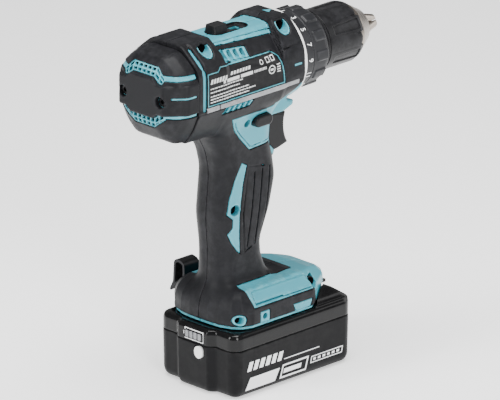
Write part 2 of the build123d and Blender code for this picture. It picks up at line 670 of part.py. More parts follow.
for stage, prefix, planet_even in ((STAGE1, "input", True), (STAGE2, "output", False)):
    ring_x, ring_w = stage["rear"] - 0.5, stage["width"] + 1.0
    with BuildPart() as ring_gear:
        add(tube(ring_x, ring_x + ring_w, CASE_BORE))
        add(gear_solid(ring_space(stage, not planet_even), ring_x - 1, ring_w + 2), mode=Mode.SUBTRACT)
    finish(ring_gear, f"{prefix}_ring_gear")
    for k, seat in enumerate(planet_seats(stage)):
        flat = external_gear(stage, "planet", not planet_even)
        turn = 2 * pi * k / 3
        turned = [(u * cos(turn) - v * sin(turn), u * sin(turn) + v * cos(turn)) for u, v in flat]
        with BuildPart() as planet:
            add(gear_solid(turned, stage["rear"], stage["width"], seat))
            with BuildSketch(across(stage["rear"] - 1)):
                with Locations(seat):
                    Circle(PLANET_PIN_R + RUN)
            extrude(amount=stage["width"] + 2, mode=Mode.SUBTRACT)
        finish(planet, f"{prefix}_planet_{k + 1}")


def carrier_solid(stage, disc_x):
    """Disc with three pins pointing back through the planets."""
    with BuildPart() as piece:
        add(tube(disc_x, disc_x + CARRIER_T, CARRIER_R))
        with BuildSketch(across(disc_x)):
            with Locations(*planet_seats(stage)):
                Circle(PLANET_PIN_R)
        extrude(amount=-(disc_x - stage["rear"] + 0.3))
    return piece.part


CARRIER1_X = STAGE1["rear"] + STAGE1["width"] + 0.8
CARRIER2_X = STAGE2["rear"] + STAGE2["width"] + 0.8
with BuildPart() as input_carrier:
    add(carrier_solid(STAGE1, CARRIER1_X))
    add(gear_solid(external_gear(STAGE2, "sun", True), CARRIER1_X + CARRIER_T,
                   CARRIER2_X - 0.6 - CARRIER1_X - CARRIER_T))
finish(input_carrier, "input_carrier")

with BuildPart() as output_spindle:
    add(carrier_solid(STAGE2, CARRIER2_X))
    add(tube(CARRIER2_X + CARRIER_T, SPINDLE_END, SPINDLE_R))
finish(output_spindle, "output_spindle")

with BuildPart() as spindle_bearings:
    add(tube(-2, 4, 12.5, SPINDLE_R + RUN))
    add(tube(32, 38, 12.5, SPINDLE_R + RUN))
finish(spindle_bearings, "spindle_bearings")

with BuildPart() as gear_case:
    add(tube(CASE_REAR, CASE_FRONT, CASE_R, CASE_BORE))
    add(tube(CASE_REAR, CASE_REAR + 2.2, CASE_R, 7.0))
    add(tube(CASE_REAR - MOTOR_BEARING_W, CASE_REAR, 10.5, MOTOR_BEARING_R))
    add(tube(-2.5, CASE_FRONT, CASE_R, 12.5))
    add(tube(CASE_FRONT, CASE_NOSE_END, CASE_NOSE_R - 0.05, 12.5))
    add(tube(6, 10, 12.6, 8.0))
finish(gear_case, "gear_case")

# ---- torque ring ------------------------------------------------------------------------------
with BuildPart() as clutch_spring:
    with BuildLine():
        coil = Helix(pitch=3.4, height=13.6, radius=18.4, center=(0, 0, 0), direction=(1, 0, 0))
    with BuildSketch(Plane(origin=coil @ 0, z_dir=coil % 0)):
        Circle(1.1)
    sweep(path=coil, is_frenet=True)
clutch_spring.part.locate(Location((18.8, 0, AXIS_Z)))
finish(clutch_spring, "clutch_spring")

with BuildPart() as clutch_washer:
    add(tube(34.0, 35.4, 20.4, CASE_NOSE_R))
finish(clutch_washer, "clutch_washer")

with BuildPart() as clutch_ring:
    with BuildSketch(Plane(origin=(0, 0, AXIS_Z), x_dir=(1, 0, 0), z_dir=(0, -1, 0))):
        with BuildLine():
            Polyline((CLUTCH_REAR, CASE_NOSE_R + RUN), (CLUTCH_REAR, CLUTCH_R + 0.6), (24, CLUTCH_R),
                     (38, CLUTCH_R - 0.6), (CLUTCH_FRONT, CLUTCH_R - 3.5), (CLUTCH_FRONT, CASE_NOSE_R + RUN),
                     close=True)
        make_face()
    revolve(axis=Axis((0, 0, AXIS_Z), (1, 0, 0)), revolution_arc=360)
    add(tube(CLUTCH_REAR - 1, 35.8, 21.5), mode=Mode.SUBTRACT)
    for index in range(CLUTCH_PADS):
        turn = index * 360 / CLUTCH_PADS
        with BuildSketch(across(30)):
            with Locations(Location((0, 0, 0), (0, 0, turn))):
                with Locations((CLUTCH_R - 1.4, 0)):
                    Rectangle(4.0, 6.5)
        extrude(amount=9.5)
finish(clutch_ring, "clutch_ring")

# ---- chuck --------------------------------------------------------------------------------------
JAW_TILT = radians(JAW_ANGLE)


def jaw_plane(angle, x_shift=0.0):
    """Plane at a jaw's tip whose normal runs back along the jaw."""
    out_y, out_z = cos(radians(angle)), sin(radians(angle))
    origin = (JAW_TIP_X + x_shift, JAW_TIP_R * out_y, AXIS_Z + JAW_TIP_R * out_z)
    back = (-cos(JAW_TILT), sin(JAW_TILT) * out_y, sin(JAW_TILT) * out_z)
    return Plane(origin=origin, x_dir=(0, -out_z, out_y), z_dir=back)


def jaw_rod(angle, radius, start, length):
    with BuildPart() as piece:
        with BuildSketch(jaw_plane(angle).offset(start)):
            Circle(radius)
        extrude(amount=length)
    return piece.part


def jaw_wedge(angle):
    """Wedge of space that one jaw may fill when the three are closed."""
    reach = 30.0
    half = radians(60)
    middle = radians(angle)
    shift = JAW_SPLIT / sin(half)
    tip = (shift * cos(middle), shift * sin(middle))
    corner_a = (tip[0] + reach * cos(middle - half), tip[1] + reach * sin(middle - half))
    corner_b = (tip[0] + reach * cos(middle + half), tip[1] + reach * sin(middle + half))
    with BuildPart() as piece:
        with BuildSketch(across(JAW_TIP_X - 45)):
            with BuildLine():
                Polyline(tip, corner_a, corner_b, close=True)
            make_face()
        extrude(amount=45)
    return piece.part


JAW_TURNS = (90, 210, 330)
JAW_ROOM = [jaw_rod(turn, JAW_R + 0.1, -12, 72) for turn in JAW_TURNS]
with BuildPart() as chuck_body:
    with BuildSketch(Plane(origin=(0, 0, AXIS_Z), x_dir=(1, 0, 0), z_dir=(0, -1, 0))):
        with BuildLine():
            Polyline((CHUCK_REAR, SPINDLE_R), (CHUCK_REAR, 14), (50, CHUCK_R), (SLEEVE_FRONT + 0.5, CHUCK_R),
                     (CHUCK_NOSE - 1, CHUCK_NOSE_R + 0.6), (CHUCK_NOSE, CHUCK_NOSE_R - 0.4),
                     (CHUCK_NOSE, BIT_BORE_R), (BIT_BORE_REAR, BIT_BORE_R), (SPINDLE_END + 2, 5.5),
                     (SPINDLE_END + 0.2, SPINDLE_R), close=True)
        make_face()
    revolve(axis=Axis((0, 0, AXIS_Z), (1, 0, 0)), revolution_arc=360)
    for room in JAW_ROOM:
        add(room, mode=Mode.SUBTRACT)
finish(chuck_body, "chuck_body")

SLEEVE_GRIPS = 12
with BuildPart() as chuck_sleeve:
    with BuildSketch(Plane(origin=(0, 0, AXIS_Z), x_dir=(1, 0, 0), z_dir=(0, -1, 0))):
        with BuildLine():
            Polyline((SLEEVE_REAR, 14.6), (SLEEVE_REAR, SLEEVE_R - 1.0), (SLEEVE_REAR + 2, SLEEVE_R),
                     (SLEEVE_FRONT - 3, SLEEVE_R), (SLEEVE_FRONT, SLEEVE_R - 1.6),
                     (SLEEVE_FRONT, SLEEVE_BORE),
                     (50, SLEEVE_BORE), (CHUCK_REAR + 0.3, 14.6), close=True)
        make_face()
    revolve(axis=Axis((0, 0, AXIS_Z), (1, 0, 0)), revolution_arc=360)
    for index in range(SLEEVE_GRIPS):
        with BuildSketch(across(56 if index % 2 == 0 else 48)):
            with Locations(Location((0, 0, 0), (0, 0, index * 360 / SLEEVE_GRIPS))):
                with Locations((SLEEVE_R + 1.2, 0)):
                    Rectangle(3.6, 6.0)
        extrude(amount=40, mode=Mode.SUBTRACT)
finish(chuck_sleeve, "chuck_sleeve")

for number, turn in enumerate(JAW_TURNS, start=1):
    jaw_blank = jaw_rod(turn, JAW_R, -3, JAW_LENGTH + 3) & jaw_wedge(turn)
    with BuildPart() as jaw:
        add(jaw_blank)
    finish(jaw, f"chuck_jaw_{number}")

with BuildPart() as chuck_screw:
    add(tube(SPINDLE_END + 0.2, SPINDLE_END + 2.6, 4.6))
finish(chuck_screw, "chuck_screw")

# ---- controls --------------------------------------------------------------------------------------
with BuildPart() as speed_selector:
    add(block(-45.4, -28.6, -6.3, 6.3, SELECTOR_FLOOR + 0.2, SELECTOR_FLOOR + 1.6))
    with BuildSketch(Plane.XY.offset(SELECTOR_FLOOR + 1.6)):
        with Locations((-38.5, 0)):
            RectangleRounded(13, 10.5, 2.0)
    extrude(amount=5.4, taper=9)
    add(block(-40, -36, -3.5, 3.5, SELECTOR_FLOOR - 1.5, SELECTOR_FLOOR + 0.3))
finish(speed_selector, "speed_selector")

SWITCH_FRONT, SWITCH_REAR, SWITCH_LOW, SWITCH_HIGH = -13.6, -38.0, 156.0, 179.0
with BuildPart() as trigger:
    with BuildSketch(side(-TRIGGER_HALF)):
        with BuildLine():
            Polyline((-5.6, TRIGGER_LOW), (13, TRIGGER_LOW), (20.5, 157.5))
            ThreePointArc((20.5, 157.5), (16.8, 168), (18.2, 179.4))
            Polyline((18.2, 179.4), (15, TRIGGER_HIGH), (-5.6, TRIGGER_HIGH), (-5.6, TRIGGER_LOW))
        make_face()
    extrude(amount=-2 * TRIGGER_HALF)
    front_edges = trigger.edges().filter_by(Axis.Y, reverse=True).filter_by(
        lambda edge: edge.center().X > 16.2)
    fillet(front_edges, 2.2)
    with BuildSketch(across(-20, 168)):
        Rectangle(6, 6)
    extrude(amount=15)
finish(trigger, "trigger")

with BuildPart() as switch_body:
    add(block(SWITCH_REAR, SWITCH_FRONT, -9, 9, SWITCH_LOW, SWITCH_HIGH))
    add(block(-29, SWITCH_FRONT + 1, -3.4, 3.4, 168 - 3.4, 168 + 3.4), mode=Mode.SUBTRACT)
finish(switch_body, "switch_body")

with BuildPart() as direction_lever:
    with BuildSketch(side(LEVER_RIGHT)):
        with Locations((LEVER_X, LEVER_Z)):
            SlotOverall(LEVER_LENGTH, LEVER_HEIGHT)
    extrude(amount=LEVER_RIGHT - LEVER_LEFT)
    fillet(direction_lever.faces().filter_by(Axis.Y).edges(), 1.6)
finish(direction_lever, "direction_lever")

with BuildPart() as work_light_lens:
    with BuildSketch(LENS_PLANE):
        RectangleRounded(9, 5, 1.5)
    extrude(amount=1.0)
    with BuildSketch(LENS_PLANE):
        RectangleRounded(9, 5, 1.5)
    extrude(amount=-2.6)
finish(work_light_lens, "work_light_lens")

# ---- foot fittings ---------------------------------------------------------------------------------
BLADE_Y, BLADE_T, BLADE_FRONT = 12.0, 1.0, -24.0
with BuildPart() as terminal_block:
    add(TERMINAL_ROOM)
finish(terminal_block, "terminal_block")

with BuildPart() as terminal_blades:
    for y in (-BLADE_Y, BLADE_Y):
        add(block(RAIL_REAR + 3, BLADE_FRONT, y - BLADE_T / 2, y + BLADE_T / 2,
                  RAIL_TOP - 5.5, RAIL_TOP + 0.6))
finish(terminal_blades, "terminal_blades")

HOOK_T, HOOK_WIDTH, HOOK_GAP = 1.8, 14.0, 6.5
HOOK_INNER_Y = 35.2
with BuildPart() as belt_hook:
    with BuildSketch(Plane(origin=(HOOK_SCREW_X - HOOK_WIDTH / 2, 0, 0), x_dir=(0, 1, 0), z_dir=(1, 0, 0))):
        with BuildLine() as hook_path:
            start = (HOOK_INNER_Y + HOOK_T / 2, FOOT_LOW + 1.5)
            FilletPolyline(start, (start[0], 72.5), (start[0] + HOOK_GAP + HOOK_T, 74.5),
                           (start[0] + HOOK_GAP + HOOK_T + 1, 58), (start[0] + HOOK_GAP + HOOK_T + 4, 52),
                           radius=3.0)
            offset(amount=HOOK_T / 2, side=Side.BOTH)
        make_face()
    extrude(amount=HOOK_WIDTH)
    with BuildSketch(side(HOOK_INNER_Y - 1)):
        with Locations((HOOK_SCREW_X, HOOK_SCREW_Z)):
            Circle(HOOK_BORE_R + 0.2)
    extrude(amount=-4, mode=Mode.SUBTRACT)
finish(belt_hook, "belt_hook")

with BuildPart() as hook_screw:
    with BuildSketch(side(HOOK_INNER_Y + HOOK_T)):
        with Locations((HOOK_SCREW_X, HOOK_SCREW_Z)):
            Circle(3.8)
    extrude(amount=-2.6)
    with BuildSketch(side(HOOK_INNER_Y + HOOK_T)):
        with Locations((HOOK_SCREW_X, HOOK_SCREW_Z)):
            Circle(HOOK_BORE_R - 0.05)
    extrude(amount=8.5)
    with BuildSketch(side(HOOK_INNER_Y + HOOK_T + 2.6)):
        with Locations((HOOK_SCREW_X, HOOK_SCREW_Z)):
            Rectangle(5.5, 1.0)
            Rectangle(1.0, 5.5)
    extrude(amount=1.5, mode=Mode.SUBTRACT)
finish(hook_screw, "hook_screw")


# ---- battery pack --------------------------------------------------------------------------------------
def pack_solid(z_low, z_high, inset, edge_round):
    """Pack outline with its rear bulge, between two heights."""
    front, rear, half = PACK_FRONT - inset, PACK_REAR + inset, PACK_HALF - inset
    with BuildPart() as piece:
        with BuildSketch(Plane.XY.offset(z_low)):
            with Locations(((front + rear) / 2, 0)):
                RectangleRounded(front - rear, 2 * half, PACK_CORNER - inset)
            with BuildLine():
                Polyline((rear + 1, -BULGE_ROOT), (rear, -BULGE_ROOT), (rear - BULGE_DEPTH, -BULGE_HALF),
                         (rear - BULGE_DEPTH, BULGE_HALF), (rear, BULGE_ROOT), (rear + 1, BULGE_ROOT),
                         close=True)
            make_face()
        extrude(amount=z_high - z_low)
        if edge_round > 0:
            fillet(piece.faces().sort_by(Axis.Z)[0].edges(), edge_round)
        if edge_round < 0:
            fillet(piece.faces().sort_by(Axis.Z)[-1].edges(), -edge_round)
    return piece.part


lower_shell = pack_solid(0, PACK_SEAM, 0, 3.0) - pack_solid(PACK_WALL, PACK_SEAM + 1, PACK_WALL, 0)
BUTTON_Y, BUTTON_Z = -6.5, 28.5
with BuildPart() as battery_case_lower:
    add(lower_shell)
    with BuildSketch(across(PACK_REAR - BULGE_DEPTH - 1, BUTTON_Z)):
        with Locations((BUTTON_Y, 0)):
            Ellipse(3.8 + GAP, 4.3 + GAP)
    extrude(amount=PACK_WALL + 2, mode=Mode.SUBTRACT)
finish(battery_case_lower, "battery_case_lower")

upper_shell = pack_solid(PACK_SEAM, PACK_DECK, 0, -4.0)
upper_shell = upper_shell - pack_solid(PACK_SEAM - 1, PACK_DECK - 2.5, PACK_WALL, 0)
with BuildPart() as hump_blank:
    with BuildSketch(Plane.XY.offset(PACK_DECK - 0.5)):
        with BuildLine():
            Polyline((18.5, -HUMP_HALF), (PACK_FRONT - 5, -HUMP_HALF), (PACK_FRONT - 1.5, -20),
                     (PACK_FRONT - 1.5, 20), (PACK_FRONT - 5, HUMP_HALF), (18.5, HUMP_HALF), close=True)
        make_face()
    extrude(amount=HUMP_TOP - PACK_DECK + 0.5, taper=28)
    with BuildSketch(Plane.XY.offset(PACK_DECK + 0.01)):
        with BuildLine():
            Polyline(*mirrored_plan([(x + (0.5 if x > 0 else -0.5), y + 0.5) for x, y in FOOT_PLAN]),
                     close=True)
        make_face()
    extrude(amount=20, mode=Mode.SUBTRACT)
with BuildPart() as battery_case_upper:
    add(upper_shell)
    add(hump_blank.part)
    add(block(RAIL_REAR, RAIL_FRONT, -RAIL_HALF, RAIL_HALF, PACK_DECK - 2.5, RAIL_TOP))
    for sign in (-1, 1):
        add(block(RAIL_REAR, RAIL_FRONT, min(sign * RAIL_HALF, sign * (RAIL_HALF - RAIL_SLOT_DEPTH)),
                  max(sign * RAIL_HALF, sign * (RAIL_HALF - RAIL_SLOT_DEPTH)), RAIL_SLOT_LOW, RAIL_SLOT_HIGH),
            mode=Mode.SUBTRACT)
        add(block(RAIL_REAR - 1, BLADE_FRONT + 2, sign * BLADE_Y - 1.4, sign * BLADE_Y + 1.4,
                  RAIL_TOP - 6.5, RAIL_TOP + 1), mode=Mode.SUBTRACT)
    add(block(RAIL_REAR + 22, RAIL_FRONT - 3, -16, 16, PACK_DECK - 4, RAIL_TOP - 2.2), mode=Mode.SUBTRACT)
    add(block(RAIL_FRONT, 53, -15.5, 15.5, PACK_DECK - 2.5, RAIL_TOP - 0.2))
    add(block(43, PACK_FRONT + 1, -12.4, 12.4, PACK_DECK + 1.2, RAIL_TOP + 3), mode=Mode.SUBTRACT)
finish(battery_case_upper, "battery_case_upper")

with BuildPart() as battery_terminals:
    for y in (-BLADE_Y, BLADE_Y):
        for leaf in (-1, 1):
            add(block(RAIL_REAR + 3, BLADE_FRONT, min(y + leaf * 0.85, y + leaf * 1.4),
                      max(y + leaf * 0.85, y + leaf * 1.4), RAIL_TOP - 6.5, RAIL_TOP - 1))
finish(battery_terminals, "battery_terminals")

CELLS_X = [(PACK_REAR + PACK_FRONT) / 2 + (index - 2) * CELL_PITCH for index in range(5)]
with BuildPart() as battery_cells:
    for x in CELLS_X:
        for z in (12.2, 12.2 + CELL_PITCH):
            with BuildSketch(side(CELL_LENGTH / 2)):
                with Locations((x, z)):
                    Circle(CELL_R)
            extrude(amount=CELL_LENGTH)
finish(battery_cells, "battery_cells")

with BuildPart() as cell_straps:
    for sign in (-1, 1):
        y0 = CELL_LENGTH / 2
        for index in range(0, 5, 2):
            right = min(index + 1, 4)
            add(block(CELLS_X[index] - 4, CELLS_X[right] + 4, min(sign * y0, sign * (y0 + 0.3)),
                      max(sign * y0, sign * (y0 + 0.3)), 8, 36))
finish(cell_straps, "cell_straps")

with BuildPart() as battery_board:
    add(block(-48, 44, -26, 26, 41.2, 42.8))
finish(battery_board, "battery_board")

with BuildPart() as release_button:
    with BuildSketch(side(12)):
        with BuildLine():
            Polyline((43.6, PACK_DECK + 4.5), (43.6, RAIL_TOP - 0.2), (47, RAIL_TOP - 0.2),
                     (52.5, PACK_DECK + 6.5), (52.5, PACK_DECK + 4.5), close=True)
        make_face()
    extrude(amount=24)
finish(release_button, "release_button")

with BuildPart() as gauge_panel:
    with BuildSketch(across(PACK_REAR - BULGE_DEPTH - 0.5, 39.0)):
        with Locations((-1.5, 0)):
            RectangleRounded(17.4, 5.6, 0.8)
    extrude(amount=0.5)
finish(gauge_panel, "gauge_panel")

with BuildPart() as check_button:
    with BuildSketch(across(PACK_REAR - BULGE_DEPTH - 0.9, BUTTON_Z)):
        with Locations((BUTTON_Y, 0)):
            Ellipse(3.8, 4.3)
    extrude(amount=2.6)
finish(check_button, "check_button")

print(len(FINISHED), "pieces")
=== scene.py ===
import math

import bmesh
import bpy
import numpy as np
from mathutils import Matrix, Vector


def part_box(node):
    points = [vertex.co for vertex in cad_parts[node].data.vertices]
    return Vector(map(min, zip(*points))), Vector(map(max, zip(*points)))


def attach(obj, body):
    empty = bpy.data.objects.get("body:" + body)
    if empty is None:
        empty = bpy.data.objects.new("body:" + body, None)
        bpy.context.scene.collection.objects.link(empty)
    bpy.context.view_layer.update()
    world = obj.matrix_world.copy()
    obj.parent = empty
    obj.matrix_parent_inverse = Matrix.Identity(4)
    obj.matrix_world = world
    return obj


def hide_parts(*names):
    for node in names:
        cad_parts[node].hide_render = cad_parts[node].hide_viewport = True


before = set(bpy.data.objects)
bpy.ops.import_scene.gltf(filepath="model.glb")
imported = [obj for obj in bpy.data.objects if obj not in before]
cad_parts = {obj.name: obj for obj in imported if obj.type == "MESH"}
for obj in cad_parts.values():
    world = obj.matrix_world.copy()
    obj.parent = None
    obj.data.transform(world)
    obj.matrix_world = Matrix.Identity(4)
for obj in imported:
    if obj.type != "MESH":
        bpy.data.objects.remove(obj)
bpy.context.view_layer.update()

# All shape work below is in millimetres, in the frame of the CAD model: +X to the chuck, +Y to the drill's
# left, +Z up.  MM turns it into metres when a mesh is written.
MM = 0.001
AXIS_Z = 219.5
SKIN = 1.5                  # thickness of the soft overmould
WALL = 2.2                  # wall of the hard housing under it
CELL = 0.7     # cell of the sampled solids


# ---- scene: camera, light, floor -----------------------------------------------------------------
def look_at(obj, target):
    obj.rotation_euler = (Vector(target) - obj.location).to_track_quat("-Z", "Y").to_euler()


def make_camera():
    azimuth, elevation, distance = math.radians(-44.5), math.radians(20.0), 6.0
    back = Vector((math.sin(azimuth) * math.cos(elevation), -math.cos(azimuth) * math.cos(elevation),
                   math.sin(elevation)))
    target = Vector((-0.0070, 0.0, 0.1208))
    data = bpy.data.cameras.new("view_camera")
    data.lens = 648.0
    data.sensor_width = 36.0
    data.clip_end = 50.0
    camera = bpy.data.objects.new("view_camera", data)
    bpy.context.scene.collection.objects.link(camera)
    camera.location = target + back * distance
    look_at(camera, target)
    bpy.context.scene.camera = camera


def area_light(name, place, target, size, power, tint=(1.0, 1.0, 1.0)):
    data = bpy.data.lights.new(name, "AREA")
    data.shape = "RECTANGLE"
    data.size, data.size_y = size
    data.energy = power
    data.color = tint
    light = bpy.data.objects.new(name, data)
    bpy.context.scene.collection.objects.link(light)
    light.location = place
    look_at(light, target)


def make_light():
    world = bpy.data.worlds.new("studio")
    bpy.context.scene.world = world
    world.use_nodes = True
    backdrop = world.node_tree.nodes["Background"]
    backdrop.inputs["Color"].default_value = (1.0, 1.0, 1.0, 1.0)
    backdrop.inputs["Strength"].default_value = 0.32
    centre = (0.0, 0.0, 0.14)
    area_light("overhead", (-0.15, -0.10, 1.25), centre, (0.9, 0.7), 25.0)
    area_light("right_side", (-0.55, -1.15, 0.55), centre, (0.35, 0.9), 14.0)
    area_light("rear_side", (-1.25, 0.35, 0.60), centre, (0.3, 0.8), 13.0)
    area_light("front_fill", (1.1, -0.5, 0.5), centre, (0.8, 0.8), 5.0)


def make_floor():
    mesh = bpy.data.meshes.new("floor")
    reach, back_y = 6.0, 6.0
    mesh.from_pydata([(-reach, -back_y, 0), (reach, -back_y, 0), (reach, back_y, 0), (-reach, back_y, 0)], [],
                     [(0, 1, 2, 3)])
    floor = bpy.data.objects.new("floor", mesh)
    bpy.context.scene.collection.objects.link(floor)
    material = bpy.data.materials.new("studio_floor")
    material.use_nodes = True
    tree = material.node_tree
    shader = tree.nodes["Principled BSDF"]
    shader.inputs["Base Color"].default_value = (0.96, 0.96, 0.96, 1.0)
    shader.inputs["Roughness"].default_value = 0.7
    shader.inputs["Emission Color"].default_value = (1.0, 1.0, 1.0, 1.0)
    shader.inputs["Emission Strength"].default_value = 0.7
    mesh.materials.append(material)


# ---- solids from distance fields -----------------------------------------------------------------
def smooth_max(a, b, blend):
    """Larger of two fields, with the edge between them rounded over about the blend distance."""
    near = np.maximum(blend - np.abs(a - b), 0.0) / blend
    return np.maximum(a, b) + near * near * (blend * 0.25)


def smooth_min(a, b, blend):
    return -smooth_max(-a, -b, blend)


def cut(solid, tool, blend=0.5):
    return smooth_max(solid, -tool, blend)


def box_field(x, v, z, low, high, radius=0.6):
    qx = np.abs(x - (low[0] + high[0]) / 2) - (high[0] - low[0]) / 2 + radius
    qv = np.abs(v - (low[1] + high[1]) / 2) - (high[1] - low[1]) / 2 + radius
    qz = np.abs(z - (low[2] + high[2]) / 2) - (high[2] - low[2]) / 2 + radius
    outside = np.sqrt(np.maximum(qx, 0) ** 2 + np.maximum(qv, 0) ** 2 + np.maximum(qz, 0) ** 2)
    return outside + np.minimum(np.maximum(np.maximum(qx, qv), qz), 0) - radius


def rod_field(x, v, z, start, end, radius):
    """Rod with round ends between two points."""
    d = [e - s for s, e in zip(start, end)]
    length2 = sum(c * c for c in d)
    t = np.clip(((x - start[0]) * d[0] + (v - start[1]) * d[1] + (z - start[2]) * d[2]) / length2, 0, 1)
    return np.sqrt((x - start[0] - t * d[0]) ** 2 + (v - start[1] - t * d[1]) ** 2
                   + (z - start[2] - t * d[2]) ** 2) - radius


def outline_field(a, b, points):
    """Signed distance to a closed outline in a plane, negative inside."""
    pts = np.asarray(points, np.float32)
    nearest = np.full(np.broadcast(a, b).shape, 1e9, np.float32)
    side = np.ones(nearest.shape, np.float32)
    for (ax, ay), (bx, by) in zip(pts, np.roll(pts, -1, axis=0)):
        ex, ey = bx - ax, by - ay
        wx, wy = a - ax, b - ay
        t = np.clip((wx * ex + wy * ey) / (ex * ex + ey * ey), 0, 1)
        nearest = np.minimum(nearest, (wx - ex * t) ** 2 + (wy - ey * t) ** 2)
        above = b >= ay
        below_next = b < by
        cross = ex * wy > ey * wx
        flip = (above & below_next & cross) | (~above & ~below_next & ~cross)
        side = np.where(flip, -side, side)
    return side * np.sqrt(nearest)


def slope_lines(x, v, z, stations, sections, blend, spread=0.0):
    """Solid whose half sections (v, z above the axis) are given at stations along x."""
    sections = np.asarray(sections, np.float64)
    grid = np.arange(stations[0] - 20.0, stations[-1] + 20.0, 0.5)
    table = np.stack([[np.interp(grid, stations, sections[:, i, j]) for j in (0, 1)]
                      for i in range(sections.shape[1])])
    if spread:
        width = int(spread / 0.5) | 1
        kernel = np.hanning(width + 2)[1:-1]
        kernel /= kernel.sum()
        padded = np.pad(table, ((0, 0), (0, 0), (width // 2, width // 2)), mode="edge")
        table = np.apply_along_axis(lambda row: np.convolve(row, kernel, "valid"), 2, padded)
    pts = [[np.interp(x, grid, table[i, j]).astype(np.float32) for j in (0, 1)] for i in range(len(table))]
    up = z - AXIS_Z
    solid = up - pts[0][1]
    for (av, az), (bv, bz) in zip(pts[:-1], pts[1:]):
        dv, dz = bv - av, bz - az
        size = np.sqrt(dv * dv + dz * dz)
        solid = smooth_max(solid, ((v - av) * -dz + (up - az) * dv) / size, blend)
    return smooth_max(solid, pts[-1][1] - up, blend)


SHOULDER = [(14, 31.7), (20, 27.5), (30, 18.5), (31.5, 14), (31.5, -11), (24, -27), (17, -35.5)]
PANEL_REAR = [(13.5, 28), (17.5, 25.4), (28.4, 18), (30.6, 13.2), (31.3, -11), (25, -24), (17, -34)]
PANEL_FRONT = [(13.5, 28), (17.5, 22.6), (28.4, 12.8), (30.4, 9), (31.3, -10), (26, -20), (15, -27)]
COLLAR = [(14, 31), (20, 26.5), (28.6, 15.6), (31, 10), (31.5, -8), (26, -18), (15, -26.5)]
HEAD_X = [-84, -58.5, -55, -6, -2.5, 14]
HEAD_SECTIONS = [SHOULDER, SHOULDER, PANEL_REAR, PANEL_FRONT, COLLAR, COLLAR]
COVER_X = [-105.5, -99, -92, -84]
COVER_SECTIONS = [
    [(10, 17), (15, 14.5), (20, 9), (21.5, 6), (21.5, -7), (17, -14), (10, -18)],
    [(12.5, 26), (17.5, 23), (26.5, 14.5), (28.5, 10), (28.5, -10), (22, -23), (14, -30)],
    [(13.5, 28), (19, 25), (28.5, 16.5), (30.8, 12), (30.8, -11), (23.5, -26), (16, -34)],
    [(13.5, 28.5), (19, 25.5), (29, 17), (31.3, 12), (31.3, -11), (24, -27), (17, -35)]]
GRIP_Z = [60, 66, 76, 86, 98, 120, 140, 152, 166, 183, 205]
GRIP_REAR = [-47.5, -47.5, -47.2, -47, -46.8, -48.4, -46.4, -45.6, -48.5, -58, -70]
GRIP_FRONT = [3, 2, -1, -5, -6.2, 1.4, 6.4, 5, 1, 1, 6]
GRIP_HALF = [16, 16, 15.6, 15.2, 15.5, 16.9, 16.8, 16.4, 17, 18.6, 26]
GRIP_CORNER = 12.5
FOOT_PLAN = [(-55, 9), (-54, 18), (-51, 27), (-46, 32.6), (-38, 35.4), (18, 35.4), (43, 19), (51.5, 8),
             (51.5, -8), (43, -19), (18, -35.4), (-38, -35.4), (-46, -32.6), (-51, -27), (-54, -18), (-55,
                                                                                                      -9)]


def collar_bow(x, v):
    """How far forward the collar's rear edge is bowed at the middle."""
    return 4.5 * np.clip(1 - (v / 17.0) ** 2, 0, 1) * np.clip((x + 18) / 10, 0, 1) * np.clip((12 - x) / 6,
                                                                                             0, 1)


def head_field(x, v, z):
    side_step = 0.9 * np.clip((AXIS_Z - 9.3 - z) / 3.0, 0, 1)
    upper = z > AXIS_Z + 18
    straight = slope_lines(x, v - side_step, z, HEAD_X, HEAD_SECTIONS, 1.6)
    bowed = slope_lines(x - collar_bow(x, v), v, z, HEAD_X, HEAD_SECTIONS, 1.6) if np.any(upper) else straight
    solid = np.where(upper, bowed, straight)
    solid = smooth_max(solid, -84.2 - x, 0.8)
    return smooth_max(solid, x - 14.0, 1.2)


def grip_field(x, v, z):
    fine = np.arange(50.0, 215.0, 1.0)
    kernel = np.hanning(15)[1:-1]
    kernel /= kernel.sum()

    def along(values):
        table = np.convolve(np.pad(np.interp(fine, GRIP_Z, values), 6, mode="edge"), kernel, "valid")
        return np.interp(z, fine, table).astype(np.float32)
    rear, front, half = along(GRIP_REAR), along(GRIP_FRONT), along(GRIP_HALF)
    qx = np.abs(x - (rear + front) / 2) - (front - rear) / 2 + GRIP_CORNER
    qv = np.abs(v) - half + GRIP_CORNER
    wall = np.sqrt(np.maximum(qx, 0) ** 2 + np.maximum(qv, 0) ** 2) + np.minimum(np.maximum(qx, qv), 0)
    wall = wall - GRIP_CORNER
    return smooth_max(smooth_max(wall, 58.0 - z, 2.0), z - 206.0, 4.0)


def nose_field(x, v, z):
    outline = outline_field(x, z, [(-12, 182.5), (11, 182.5), (19.5, 185.5), (20, 189), (13.7, 190.5),
                                   (13.7, 203), (-12, 203)])
    return smooth_max(outline, np.abs(v) - 15.0, 2.0)


def guard_field(x, v, z):
    """Slim lip below the trigger."""
    outline = outline_field(x, z, [(-3, 160), (2.5, 160), (6.2, 156), (5.2, 152.6), (-2, 154)])
    return smooth_max(outline, np.abs(v) - 11.0, 2.0)


def foot_top(x):
    return np.interp(x, [2.0, 12.0, 30.0, 42.0, 51.5], [71.0, 71.5, 69.0, 66.0, 59.5])


def foot_field(x, v, z):
    plan = outline_field(x, np.abs(v), FOOT_PLAN)
    lift = np.interp(x, [-44.0, -35.0], [2.0, 0.0]).astype(np.float32)
    crown = (plan + (z - 61.0 - lift) * 0.95) * 0.725
    dome = np.interp(x, [-44.0, -35.0], [5.0, 1.0]).astype(np.float32)
    solid = smooth_max(plan, crown, dome)
    solid = smooth_max(solid, z - foot_top(x) - lift * 0.5, dome)
    flange = np.clip((49.6 - z) / 1.5, 0, 1) * 1.1
    solid = solid + flange
    return smooth_max(solid, 46.3 - z, 0.8)


